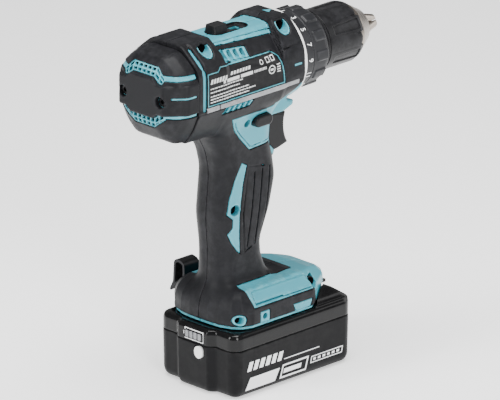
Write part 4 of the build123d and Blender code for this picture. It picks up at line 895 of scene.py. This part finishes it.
def cover_shell_field(x, y, z):
    v = np.abs(y)
    body = cover_body(x, v, z)
    shown = smooth_max(body + 0.7, cover_hard(x, v, z) + 0.1, 0.5)
    outer = smooth_min(shown, body + SKIN + 0.15, 0.5)
    shell = smooth_max(outer, -(body + SKIN + WALL), 0.5)
    for sign in (-1, 1):
        pillar = np.sqrt((y - sign * 17.5) ** 2 + (z - 218.5) ** 2)
        shell = np.minimum(shell, np.maximum(np.maximum(pillar - 5.0, x + 94.0), body + SKIN + 0.2))
        shell = cut(shell, np.maximum(pillar - 1.95, -120 - x), 0.3)
        shell = cut(shell, np.maximum(pillar - 3.65, x + 101.9), 0.3)
    air = grid_holes(x, y, z)
    return cut(shell, air, 0.35)


def grid_holes(x, y, z):
    """Slanting square air holes inside the two grid outlines."""
    pitch_y, pitch_z, half_y, half_z = 4.1, 3.5, 1.6, 1.3
    v = np.abs(y)
    bend = np.maximum(v - 11.0, 0.0)
    upper = z - 237.2 + bend * 0.80
    lower = z - 202.2 - bend * 0.62
    inside = np.minimum(np.maximum(outline_field(v, z, UPPER_GRID) + 0.8, 225 - z),
                        np.maximum(outline_field(v, z, LOWER_GRID) + 0.8, z - 214))
    across_y = np.abs((y + pitch_y / 2) % pitch_y - pitch_y / 2) - half_y
    level = np.where(z > AXIS_Z, upper, lower)
    across_z = np.abs(level % pitch_z - pitch_z / 2) - half_z
    return np.maximum(np.maximum(np.maximum(across_y, across_z), inside), x + 91.0)


def cover_skin_field(x, y, z):
    v = np.abs(y)
    body = cover_body(x, v, z)
    skin = smooth_max(body, -(body + SKIN), 0.3)
    band = smooth_max(cover_band(x, v, z), -(body + SKIN), 0.4)
    hard = cover_hard(x, v, z)
    skin = smooth_max(skin, 0.12 - hard, 0.9)
    skin = smooth_min(skin, band, 0.8)
    line = np.maximum(np.maximum(np.abs(z - 221.2) - 0.75, x + 86.5), np.maximum(-103.0 - x, 20.0 - v))
    skin = cut(skin, np.maximum(line, -(cover_band(x, v, z) + 0.8)), 0.4)
    well = np.sqrt((v - 17.5) ** 2 + (z - 218.5) ** 2)
    skin = cut(skin, np.maximum(well - 4.0, x + 100.0), 0.8)
    dome = rod_field(x, v, z, (-97.5, 13.5, 246.2), (-86, 13.8, 247.9), 0.5)
    return cut(skin, dome, 0.4)


def cover_line_field(x, y, z):
    """Teal accent line let into the band on each side."""
    v = np.abs(y)
    line = smooth_max(np.maximum(np.abs(z - 221.2) - 0.65, x + 86.7), np.maximum(-102.8 - x, 20.0 - v), 0.3)
    shell = smooth_max(cover_band(x, v, z) + 0.15, -(cover_band(x, v, z) + 1.0), 0.3)
    return smooth_max(shell, line, 0.3)


def make_rear_cover():
    low, high = (-109.0, -32.6, 178.0), (-83.0, 32.6, 250.0)
    fine = CELL * 0.75
    mesh = field_mesh("rear_cover_shell", cover_shell_field, low, high, fine)
    place_piece("rear_cover_shell", mesh, "drill_body", ["rear_cover"],
                FINISHES["teal_plastic"])
    mesh = field_mesh("rear_cover_soft_skin", cover_skin_field, low, high, fine)
    place_piece("rear_cover_soft_skin", mesh, "drill_body", ["rear_cover_overmould"],
                FINISHES["black_rubber"])
    mesh = field_mesh("rear_cover_accent_lines", cover_line_field, (-104, -32.4, 219), (-85, 32.4, 223.5),
                      0.4)
    place_piece("rear_cover_accent_lines", mesh, "drill_body", [], FINISHES["teal_plastic"])


# ---- battery -------------------------------------------------------------------------------------
PACK_SIDE = 36.8            # half width of the battery
PACK_MIDDLE, PACK_REACH = -1.5, 55.5   # middle and half length of the battery
PACK_CORNER = 8.0
PACK_REAR = -61.0           # rear of the bulge that carries the gauge


def pack_draft(z):
    """How far the sides lean in towards the battery's foot."""
    return 0.6 * np.clip((30.0 - z) / 30.0, 0, 1)


def pack_body(x, v, z):
    qx = np.abs(x - PACK_MIDDLE) - PACK_REACH + PACK_CORNER
    qv = v - PACK_SIDE + PACK_CORNER
    plan = np.sqrt(np.maximum(qx, 0) ** 2 + np.maximum(qv, 0) ** 2)
    plan = plan + np.minimum(np.maximum(qx, qv), 0) - PACK_CORNER
    draft = pack_draft(z)
    plan = plan + draft
    bulge = smooth_max(PACK_REAR - x, (v - 14.0) * 0.7 - (x - PACK_REAR) * 0.7, 0.8)
    bulge = np.maximum(bulge + draft, x + 40.0)
    plan = smooth_min(plan, bulge, 1.2)
    return smooth_max(plan, -z, 7.5)


def case_lower_field(x, y, z):
    v = np.abs(y)
    body = pack_body(x, v, z)
    solid = smooth_max(body, z - 33.8, 0.9)
    solid = smooth_max(solid, -smooth_max(body + 2.2, 2.4 - z, 1.0), 0.4)
    button = box_field(x, y, z, (-70, -10.4, 25.0), (-50, -2.6, 33.0), 2.0)
    foot_line = rod_field(x, v, z, (-52, 18.8, 2), (-52, 18.8, 33), 0.6)
    return cut(cut(solid, button, 0.4), foot_line, 0.4)


LATCH_GAP = 0.35            # room round the latch button
LATCH_LOW = tuple(c / MM - LATCH_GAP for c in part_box("release_button")[0])
LATCH_HIGH = tuple(c / MM + LATCH_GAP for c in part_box("release_button")[1])


def case_upper_field(x, y, z):
    v = np.abs(y)
    body = pack_body(x, v, z)
    lip = smooth_max(body + 0.05, z - 46.0, 5.0)
    solid = smooth_max(lip, 34.15 - z, 0.7)
    slope = (z - 46.0) - (53.0 - x) * 0.75
    side_slope = (z - 46.0) - (37.0 - v) * 0.9
    shoulder = smooth_max(smooth_max(slope, side_slope, 2.5), z - 55.0, 2.5)
    shoulder = smooth_max(shoulder, v - 34.0, 2.5)
    plan = outline_field(x, v, FOOT_PLAN)
    inner = np.maximum(0.8 - plan, np.maximum(20.0 - x, 40.0 - z))
    shoulder = smooth_max(np.maximum(shoulder, inner), np.maximum(body + 0.3, -50.0), 1.0)
    solid = smooth_min(solid, shoulder, 1.2)
    rail = box_field(x, v, z, (-40, -20, 40), (40, 20, 54.0), 0.8)
    slot = box_field(x, v, z, (-60, 17.0, 48.4), (60, 30, 51.2), 0.3)
    solid = smooth_min(solid, cut(rail, slot, 0.3), 0.6)
    solid = cut(solid, box_field(x, v, z, (-45, 11.2, 47.6), (-22.5, 12.8, 60), 0.2), 0.3)
    hollow = smooth_max(body + 2.4, z - 43.6, 0.8)
    hollow = np.maximum(hollow, 33.0 - z)
    solid = np.maximum(solid, -hollow)
    gauge = box_field(x, y, z, (-70, -10.7, 35.0), (-58.9, 7.7, 43.2), 0.8)
    solid = cut(solid, gauge, 0.3)
    pocket = box_field(x, y, z, LATCH_LOW, LATCH_HIGH, 0.3)
    return cut(solid, pocket, 0.3)


def make_battery():
    low, high = (-61.8, -37.8, -0.8), (55.0, 37.8, 35.0)
    mesh = field_mesh("battery_tub", case_lower_field, low, high, CELL, 150000)
    place_piece("battery_tub", mesh, "battery", ["battery_case_lower"],
                FINISHES["battery_side_plastic"])
    mesh = field_mesh("battery_top_case", case_upper_field, (-61.9, -37.9, 33.0), (55.0, 37.9, 56.5), CELL,
                      150000)
    place_piece("battery_top_case", mesh, "battery", ["battery_case_upper"],
                FINISHES["gloss_black_plastic"])


# ---- torque ring, indicator ring, chuck sleeve ---------------------------------------------------
def around_axis(y, z):
    radius = np.sqrt(y * y + (z - AXIS_Z) ** 2)
    return radius, np.arctan2(z - AXIS_Z, y)


def sector(angle, count, shift=0.0):
    """Angle from the middle of the nearest of so many equal sectors."""
    step = 2 * math.pi / count
    return (angle - shift + step / 2) % step - step / 2


def torque_ring_field(x, y, z):
    radius, angle = around_axis(y, z)
    outer = np.interp(x, [17.4, 24, 38, 42.6], [27.4, 27.0, 26.4, 25.6]).astype(np.float32)
    ring = smooth_max(radius - outer, 17.45 - x, 1.0)
    ring = smooth_max(ring, x - 42.55, 1.6)
    ring = smooth_max(ring, (radius - 26.8) * 0.7 + (x - 40.2) * 0.7, 1.0)
    arc = sector(angle, 12) * radius
    pads = box_field(x, np.abs(arc), radius, (29.5, -3.6, 20.0), (39.6, 3.6, 27.6), 1.0)
    ring = smooth_min(ring, pads, 0.7)
    waist = np.maximum(np.abs(x - 26.6) - 0.35, 26.6 - radius)
    ring = cut(ring, waist, 0.4)
    bore = np.where(x < 35.8, 21.5, 15.05)
    return smooth_max(ring, bore - radius, 0.4)


def sleeve_field(x, y, z):
    radius, angle = around_axis(y, z)
    outer = np.interp(x, [43.2, 46, 77, 81], [20.6, 21.2, 21.1, 20.0]).astype(np.float32)
    sleeve = smooth_max(radius - outer, 43.25 - x, 1.2)
    sleeve = smooth_max(sleeve, x - 80.95, 1.6)
    wide = sector(angle, 6)
    narrow = sector(angle, 6, math.pi / 6)
    flat = 20.1 - radius * np.cos(wide)
    flat_zone = np.maximum(-flat, np.maximum(np.abs(wide * radius) - 4.6, np.maximum(50.0 - x, x - 84.0)))
    sleeve = cut(sleeve, flat_zone, 0.8)
    taper = 2.6 + 0.035 * (x - 50.0)
    pocket = np.maximum(np.abs(narrow * radius) - taper, np.maximum(54.0 - x, x - 77.0))
    sleeve = cut(sleeve, np.maximum(pocket, 20.3 - radius), 0.8)
    rear_line = np.maximum(np.abs(x - 48.0) - 0.35, 20.6 - radius)
    sleeve = cut(sleeve, rear_line, 0.4)
    bore = np.where(x < 50.0, 14.6 + (x - 43.7) * 0.75, 19.3)
    return smooth_max(sleeve, np.minimum(bore, 19.3) - radius, 0.3)


def indicator_field(x, y, z):
    radius, angle = around_axis(y, z)
    ring = smooth_max(radius - 30.4, 14.15 - x, 0.6)
    ring = smooth_max(ring, x - 17.0, 0.7)
    return smooth_max(ring, 15.0 - radius, 0.4)


def digit_mesh(word, size, raise_by):
    """Flat raised numeral of the dial, in its own plane, in millimetres."""
    curve = bpy.data.curves.new("numeral", "FONT")
    curve.body = word
    curve.size = size
    curve.align_x, curve.align_y = "CENTER", "CENTER"
    curve.extrude = raise_by / 2
    curve.resolution_u = 3
    holder = bpy.data.objects.new("numeral", curve)
    bpy.context.scene.collection.objects.link(holder)
    graph = bpy.context.evaluated_depsgraph_get()
    mesh = bpy.data.meshes.new_from_object(holder.evaluated_get(graph))
    bpy.data.objects.remove(holder)
    return mesh


def block_repeater():
    """Geometry nodes: one rounded block repeated along a line, round the chuck's axis, or both."""
    tree = bpy.data.node_groups.new("block_repeater", "GeometryNodeTree")
    tree.interface.new_socket("Geometry", in_out="OUTPUT", socket_type="NodeSocketGeometry")
    for label, kind in (("Count", "Int"), ("Start", "Vector"), ("Step", "Vector"), ("Block Size", "Vector"),
                        ("First Turn", "Float"), ("Turn Step", "Float"), ("Radius", "Float"),
                        ("Corner", "Float"), ("Finish", "Material")):
        tree.interface.new_socket(label, in_out="INPUT", socket_type="NodeSocket" + kind)

    def node(kind, **settings):
        made = tree.nodes.new(kind)
        for key, value in settings.items():
            setattr(made, key, value)
        return made

    def wire(output, target):
        tree.links.new(output, target)

    given = node("NodeGroupInput").outputs
    index = node("GeometryNodeInputIndex").outputs[0]
    turn = node("ShaderNodeMath", operation="MULTIPLY_ADD")
    wire(index, turn.inputs[0])
    wire(given["Turn Step"], turn.inputs[1])
    wire(given["First Turn"], turn.inputs[2])
    spin = node("ShaderNodeCombineXYZ")
    wire(turn.outputs[0], spin.inputs["X"])
    arm = node("ShaderNodeCombineXYZ")
    wire(given["Radius"], arm.inputs["Y"])
    swung = node("ShaderNodeVectorRotate", rotation_type="X_AXIS")
    wire(arm.outputs[0], swung.inputs["Vector"])
    wire(turn.outputs[0], swung.inputs["Angle"])
    along = node("ShaderNodeVectorMath", operation="SCALE")
    wire(given["Step"], along.inputs[0])
    wire(index, along.inputs["Scale"])
    line = node("ShaderNodeVectorMath", operation="ADD")
    wire(given["Start"], line.inputs[0])
    wire(along.outputs[0], line.inputs[1])
    place = node("ShaderNodeVectorMath", operation="ADD")
    wire(line.outputs[0], place.inputs[0])
    wire(swung.outputs[0], place.inputs[1])
    points = node("GeometryNodePoints")
    wire(given["Count"], points.inputs["Count"])
    wire(place.outputs[0], points.inputs["Position"])
    cube = node("GeometryNodeMeshCube")
    wire(given["Block Size"], cube.inputs["Size"])
    soft = node("GeometryNodeSubdivisionSurface")
    soft.inputs["Level"].default_value = 2
    wire(cube.outputs["Mesh"], soft.inputs["Mesh"])
    wire(given["Corner"], soft.inputs["Edge Crease"])
    copies = node("GeometryNodeInstanceOnPoints")
    wire(points.outputs[0], copies.inputs["Points"])
    wire(soft.outputs[0], copies.inputs["Instance"])
    wire(spin.outputs[0], copies.inputs["Rotation"])
    real = node("GeometryNodeRealizeInstances")
    wire(copies.outputs[0], real.inputs[0])
    finish = node("GeometryNodeSetMaterial")
    wire(real.outputs[0], finish.inputs["Geometry"])
    wire(given["Finish"], finish.inputs["Material"])
    wire(finish.outputs[0], node("NodeGroupOutput").inputs[0])
    return tree


BLOCK_REPEATER = block_repeater()


def repeated_blocks(name, count, start, step, size, finish, first_turn=0.0, turn_step=0.0, radius=0.0,
                    corner=0.85):
    """Plain mesh of equal blocks, sizes in millimetres and turns in degrees."""
    values = {"Count": count, "Start": [c * MM for c in start], "Step": [c * MM for c in step],
              "Block Size": [c * MM for c in size], "First Turn": math.radians(first_turn),
              "Turn Step": math.radians(turn_step), "Radius": radius * MM, "Corner": corner,
              "Finish": FINISHES[finish]}
    holder = bpy.data.objects.new(name, bpy.data.meshes.new(name))
    bpy.context.scene.collection.objects.link(holder)
    modifier = holder.modifiers.new("repeat", "NODES")
    modifier.node_group = BLOCK_REPEATER
    for item in BLOCK_REPEATER.interface.items_tree:
        if item.in_out == "INPUT":
            modifier[item.identifier] = values[item.name]
    seen = bpy.context.evaluated_depsgraph_get()
    mesh = bpy.data.meshes.new_from_object(holder.evaluated_get(seen))
    holder.modifiers.clear()
    bpy.data.objects.remove(holder)
    mesh.name = name
    return mesh


DIAL_RADIUS = 27.25         # torque ring under its numerals
NUMERALS, NUMERAL_STEP = 11, 23.0
TICKS, TICK_STEP = 21, 11.5


def make_dial_numbers():
    """Numerals bent round the torque ring, every second step from the top marker."""
    work = bmesh.new()
    for index in range(NUMERALS):
        turn = math.radians(90.0 + NUMERAL_STEP * index)
        part = digit_mesh(str(2 * index + 1), 5.6, 0.24)
        for vertex in part.vertices:
            across, along, out = vertex.co.x, vertex.co.y, vertex.co.z
            radius = DIAL_RADIUS + out
            angle = turn + across / 27.2
            vertex.co = Vector((23.0 + along, math.cos(angle) * radius,
                                AXIS_Z + math.sin(angle) * radius)) * MM
        work.from_mesh(part)
        bpy.data.meshes.remove(part)
    bmesh.ops.remove_doubles(work, verts=work.verts, dist=1e-7)
    bmesh.ops.recalc_face_normals(work, faces=work.faces)
    mesh = bpy.data.meshes.new("torque_numbers")
    work.to_mesh(mesh)
    work.free()
    place_piece("torque_ring_numbers", mesh, "torque_ring", [], FINISHES["white_print"])
    ticks = repeated_blocks("torque_ring_ticks", TICKS, (18.7, 0, AXIS_Z), (0, 0, 0), (1.3, 0.24, 0.55),
                            "white_print",
                            first_turn=90.0, turn_step=TICK_STEP, radius=27.47)
    place_piece("torque_ring_ticks", ticks, "torque_ring", [], FINISHES["white_print"])


def make_front_rings():
    fine = 0.42
    span = 31.0
    mesh = field_mesh("torque_ring_body", torque_ring_field, (17, -28.5, AXIS_Z - 28.5),
                      (43, 28.5, AXIS_Z + 28.5), fine)
    place_piece("torque_ring_body", mesh, "torque_ring", ["clutch_ring"],
                FINISHES["grey_black_plastic"])
    mesh = field_mesh("chuck_sleeve_grip", sleeve_field, (43, -22, AXIS_Z - 22), (81.5, 22, AXIS_Z + 22),
                      fine)
    place_piece("chuck_sleeve_grip", mesh, "sleeve", ["chuck_sleeve"],
                FINISHES["black_plastic"])
    mesh = field_mesh("indicator_band", indicator_field, (13.8, -span, AXIS_Z - span),
                      (17.3, span, AXIS_Z + span), fine)
    place_piece("indicator_band", mesh, "drill_body", ["indicator_ring"],
                FINISHES["white_plastic"])
    make_dial_numbers()


# ---- rating plate, ledge strip with painted highlight, battery marks -----------------------------
def plate_field(x, y, z):
    v = -y
    body = body_field(x, v, z)
    solid = smooth_max(body + 0.55, -(body + SKIN), 0.2)
    return smooth_max(smooth_max(solid, plate_area(x, z) + 0.75, 0.3), 20.0 - v, 0.3)


def plate_rim_field(x, y, z):
    v = -y
    body = body_field(x, v, z)
    area = plate_area(x, z)
    ring = smooth_max(area + 0.05, -(area + 0.65), 0.2)
    solid = smooth_max(body + 0.25, -(body + SKIN), 0.2)
    return smooth_max(smooth_max(solid, ring, 0.2), 20.0 - v, 0.3)


def prism_marks(name, outlines, surface_at, raise_by=0.1, sink=0.25):
    """Thin raised print: each outline of (x, z) points laid on a side wall whose y is surface_at(x, z)."""
    work = bmesh.new()
    for outline in outlines:
        pts = np.asarray(outline, float)
        wall = surface_at(pts[:, 0], pts[:, 1])
        outer = [work.verts.new(Vector((a, -(w + raise_by), b)) * MM) for (a, b), w in zip(pts, wall)]
        inner = [work.verts.new(Vector((a, -(w - sink), b)) * MM) for (a, b), w in zip(pts, wall)]
        work.faces.new(outer)
        work.faces.new(inner[::-1])
        for i in range(len(pts)):
            j = (i + 1) % len(pts)
            work.faces.new((outer[i], inner[i], inner[j], outer[j]))
    bmesh.ops.recalc_face_normals(work, faces=work.faces)
    mesh = bpy.data.meshes.new(name)
    work.to_mesh(mesh)
    work.free()
    return mesh


def leaning_bar(x0, x1, z0, z1, lean=0.0):
    return [(x0 + lean * (z0 - z0), z0), (x1, z0), (x1 + lean * (z1 - z0), z1), (x0 + lean * (z1 - z0), z1)]


def ring_bars(centre, radius, width, count=20, lean=0.0):
    parts = []
    for k in range(count):
        a, b = 2 * math.pi * k / count, 2 * math.pi * (k + 1) / count
        quad = [(radius - width / 2, a), (radius + width / 2, a), (radius + width / 2, b),
                (radius - width / 2, b)]
        parts.append([(centre[0] + r * math.cos(t) + lean * r * math.sin(t), centre[1] + r * math.sin(t))
                      for r, t in quad])
    return parts


def side_wall(inset):
    """Function that finds the y of the body's side wall at a given depth."""
    def find(x, z):
        v = np.full(len(x), 31.0)
        for _ in range(6):
            value = body_field(x, v, z) + inset
            slope = (body_field(x, v + 0.1, z) - body_field(x, v - 0.1, z)) / 0.2
            v = v - value / np.maximum(slope, 0.3)
        return v
    return find


def leaning_frame(left, right, low, high, line, lean=0.0):
    """Four bars that outline a leaning block."""
    rows = ((left, right, low, low + line), (left, right, high - line, high),
            (left, left + line, low + line, high - line), (right - line, right, low + line, high - line))
    return [leaning_bar(x0 + (z0 - low) * lean, x1 + (z0 - low) * lean, z0, z1, lean) for x0, x1, z0,
            z1 in rows]


def plate_print():
    """Wordless print: blocks, dashes and rings where a rating plate has its data."""
    marks = []
    rows = ((-73.5, -43, 222.7), (-73.5, -46, 220.2), (-73.5, -38, 217.4), (-73.5, -32, 215.4),
            (-73.5, -38, 213.4))
    for row, (start, stop, level) in enumerate(rows):
        place, step = start, 0
        while place < stop:
            width = 0.9 + ((step * 7 + row * 3) % 5) * 0.45
            marks.append(leaning_bar(place, min(place + width, stop), level - 0.4, level + 0.4))
            place += width + 0.55
            step += 1
    for index in range(6):
        left = -73.5 + index * 2.6
        marks.append(leaning_bar(left, left + 1.7, 226.0, 229.2, 0.3))
    for index in range(7):
        left = -54.5 + index * 2.7
        marks.append(leaning_bar(left, left + 1.8, 228.0, 230.2, 0.3))
    marks.append(leaning_bar(-61.5, -46.5, 224.0, 226.2))
    marks.append(leaning_bar(-45.0, -34.0, 224.0, 226.2))
    for index in range(9):
        marks.append(leaning_bar(-32.5 + index * 1.3, -31.8 + index * 1.3, 224.2, 226.0))
    marks += leaning_frame(-15.4, -11.8, 227.9, 231.3, 0.6)
    marks += leaning_frame(-20.4, -16.8, 227.9, 231.3, 0.6)
    marks += ring_bars((-16.2, 222.6), 2.7, 0.7, 20)
    marks += ring_bars((-25.0, 229.6), 1.4, 0.5, 14)
    marks.append(leaning_bar(-17.6, -14.8, 221.9, 223.3))
    for index in range(4):
        marks.append(leaning_bar(-11.5, -8.2, 224.6 - index * 1.6, 225.3 - index * 1.6))
    return marks


def pack_print():
    """White stripe, bars and outlined blocks on the battery's right side, with no words."""
    marks = [leaning_bar(-47.0, -19.5, 5.0, 13.2, 0.55)]
    for index in range(6):
        left = -45.5 + index * 5.6
        marks.append(leaning_bar(left, left + 3.6, 18.2, 24.6, 0.35))
    marks.append(leaning_bar(-11.0, 22.0, 18.2, 18.75, 0.0))
    marks += leaning_frame(-15.0, 9.5, 5.2, 14.6, 1.1, 0.3)
    marks.append(leaning_bar(-11.6, 4.6, 8.4, 11.4, 0.3))
    marks += leaning_frame(13.8, 43.6, 8.6, 13.4, 0.6, 0.2)
    for index in range(6):
        marks.append(leaning_bar(16.4 + index * 4.4, 18.8 + index * 4.4, 10.2, 11.8, 0.2))
    return marks


# light grey strip 0.18 mm proud along the side ledge: a painted highlight for the light its upper face catches
def ledge_highlight_field(x, y, z):
    v = np.abs(y)
    body = body_field(x, v, z)
    solid = smooth_max(body - 0.18, -(body + SKIN), 0.2)
    strip = np.maximum(np.maximum(207.1 - z, z - 210.4), np.maximum(-77.0 - x, x - 9.0))
    gap = np.abs(x + 65.5) - 0.35
    strip = cut(strip, gap, 0.2)
    return smooth_max(smooth_max(solid, strip, 0.5), 20.0 - v, 0.3)


def boxes_mesh(name, boxes):
    work = bmesh.new()
    for low, high in boxes:
        cube = bmesh.ops.create_cube(work, size=1.0)
        for vertex in cube["verts"]:
            for axis in range(3):
                middle, reach = (low[axis] + high[axis]) / 2, high[axis] - low[axis]
                vertex.co[axis] = (middle + vertex.co[axis] * reach) * MM
    bmesh.ops.bevel(work, geom=list(work.edges), offset=0.00008, segments=1, affect="EDGES")
    mesh = bpy.data.meshes.new(name)
    work.to_mesh(mesh)
    work.free()
    return mesh


def pack_wall(x, z):
    return PACK_SIDE - pack_draft(z)


def make_painted_shade_liners():
    """Black sleeves deep in the screw wells of the right half: painted shade, standing in for the dark that the
    deep wells get from shade.
    """
    work = bmesh.new()
    sides = 32
    for (x, z), radius in zip(SCREWS, WELL_RADII):
        mouth = float(side_wall(0.0)(np.array([x]), np.array([z]))[0])
        rings = []
        for y, r in ((mouth - 4.5, radius - 0.02), (mouth - 4.5, radius - 0.4), (7.3, radius - 0.4),
                     (7.3, radius - 0.02)):
            rings.append([work.verts.new(Vector((x + r * math.cos(2 * math.pi * k / sides), -y,
                                                 z + r * math.sin(2 * math.pi * k / sides))) * MM)
                          for k in range(sides)])
        for first, second in zip(rings, rings[1:] + rings[:1]):
            for k in range(sides):
                n = (k + 1) % sides
                work.faces.new((first[k], first[n], second[n], second[k]))
    bmesh.ops.recalc_face_normals(work, faces=work.faces)
    mesh = bpy.data.meshes.new("screw_well_painted_shade_liners")
    work.to_mesh(mesh)
    work.free()
    # the black liners are painted shade inside the screw wells, not a real part
    place_piece("screw_well_painted_shade_liners", mesh, "drill_body", [], FINISHES["black_plastic"])


def make_marks():
    make_painted_shade_liners()
    plate_low, plate_high = (-76.5, -33.4, 210), (-4, -25.0, 237)
    mesh = field_mesh("rating_plate_film", plate_field, plate_low, plate_high, 0.55)
    place_piece("rating_plate_film", mesh, "drill_body", ["rating_plate"],
                FINISHES["label_film"])
    mesh = field_mesh("rating_plate_rim", plate_rim_field, plate_low, plate_high, 0.4)
    place_piece("rating_plate_rim", mesh, "drill_body", [], FINISHES["teal_plastic"])
    mesh = prism_marks("rating_plate_print", plate_print(), side_wall(0.55))
    place_piece("rating_plate_print", mesh, "drill_body", [], FINISHES["label_print"])
    # the ledge strips are a painted highlight in light grey
    mesh = field_mesh("side_ledge_painted_highlight_strips", ledge_highlight_field, (-78, -33.2, 206), (10, 33.2, 211.4), 0.5)
    place_piece("side_ledge_painted_highlight_strips", mesh, "drill_body", [], FINISHES["grey_strip"])
    mesh = prism_marks("battery_side_marks", pack_print(), pack_wall, 0.15)
    place_piece("battery_side_marks", mesh, "battery", [], FINISHES["white_print"])
    rear, front = -60.98, -60.4
    lines = [((rear, -10.3, 35.3), (front, 7.3, 35.9)), ((rear, -10.3, 42.4), (front, 7.3, 43.0)),
             ((rear, -10.3, 35.9), (front, -9.7, 42.4)), ((rear, 6.7, 35.9), (front, 7.3, 42.4)),
             ((rear, 7.3, 38.0), (front, 8.3, 40.4))]
    place_piece("charge_gauge_frame", boxes_mesh("charge_gauge_frame", lines), "battery", [],
                FINISHES["white_print"])
    panel_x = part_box("gauge_panel")[0][0] / MM
    lamps = repeated_blocks("charge_gauge_lamps", 4, (panel_x + 0.2, -7.1, 39.2), (0, 3.9, 0),
                            (0.7, 3.0, 4.8),
                            "grey_strip")
    place_piece("charge_gauge_lamps", lamps, "battery", [], FINISHES["grey_strip"])
    collar = [[(4.0, 220.3), (10.5, 220.3), (10.5, 221.7), (4.0, 221.7)]]
    place_piece("collar_side_mark", prism_marks("collar_side_mark", collar, side_wall(0.0), 0.08),
                "drill_body", [],
                FINISHES["teal_plastic"])
    work = bmesh.new()
    top = AXIS_Z + 31.05
    upper = [work.verts.new(Vector(p) * MM) for p in ((12.6, 0, top), (7.4, 3.2, top), (7.4, -3.2, top))]
    lower = [work.verts.new(v.co - Vector((0, 0, 0.3)) * MM) for v in upper]
    work.faces.new(upper)
    work.faces.new(lower[::-1])
    for i in range(3):
        work.faces.new((upper[i], lower[i], lower[(i + 1) % 3], upper[(i + 1) % 3]))
    bmesh.ops.recalc_face_normals(work, faces=work.faces)
    mesh = bpy.data.meshes.new("dial_marker")
    work.to_mesh(mesh)
    work.free()
    place_piece("dial_marker", mesh, "drill_body", [], FINISHES["teal_plastic"])


def selector_bed_field(x, y, z):
    plan = np.sqrt(np.maximum(np.abs(x - SELECTOR_MIDDLE) - 10.2, 0) ** 2 + y * y) - 7.0
    bed = smooth_max(plan, np.abs(z - (AXIS_Z + 25.45)) - 0.45, 0.3)
    slot = box_field(x, y, z, (-41, -4.5, AXIS_Z + 20), (-17, 4.5, AXIS_Z + 30))
    liner = smooth_max(np.abs(plan + 0.15) - 0.25, body_field(x, np.abs(y), z) + 0.5, 0.2)
    liner = np.maximum(liner, AXIS_Z + 25.0 - z)
    return cut(np.minimum(bed, liner), slot, 0.2)


def make_selector_bed():
    mesh = field_mesh("selector_bed", selector_bed_field, (-47, -8, AXIS_Z + 24.5), (-11, 8, AXIS_Z + 35),
                      0.3)
    place_piece("selector_bed", mesh, "drill_body", [], FINISHES["black_plastic"])
    for side, y in (("right", -5.6), ("left", 5.6)):
        ribs = repeated_blocks("selector_bed_ribs_" + side, 9, (-38.6, y, AXIS_Z + 25.85), (2.4, 0, 0),
                               (0.7, 1.3, 0.4),
                               "black_plastic")
        place_piece("selector_bed_ribs_" + side, ribs, "drill_body", [],
                    FINISHES["black_plastic"])


make_selector_bed()
finish_cad_nodes()
make_housings()
make_front_rings()
make_marks()
make_rear_cover()
make_battery()

make_camera()
make_light()
make_floor()
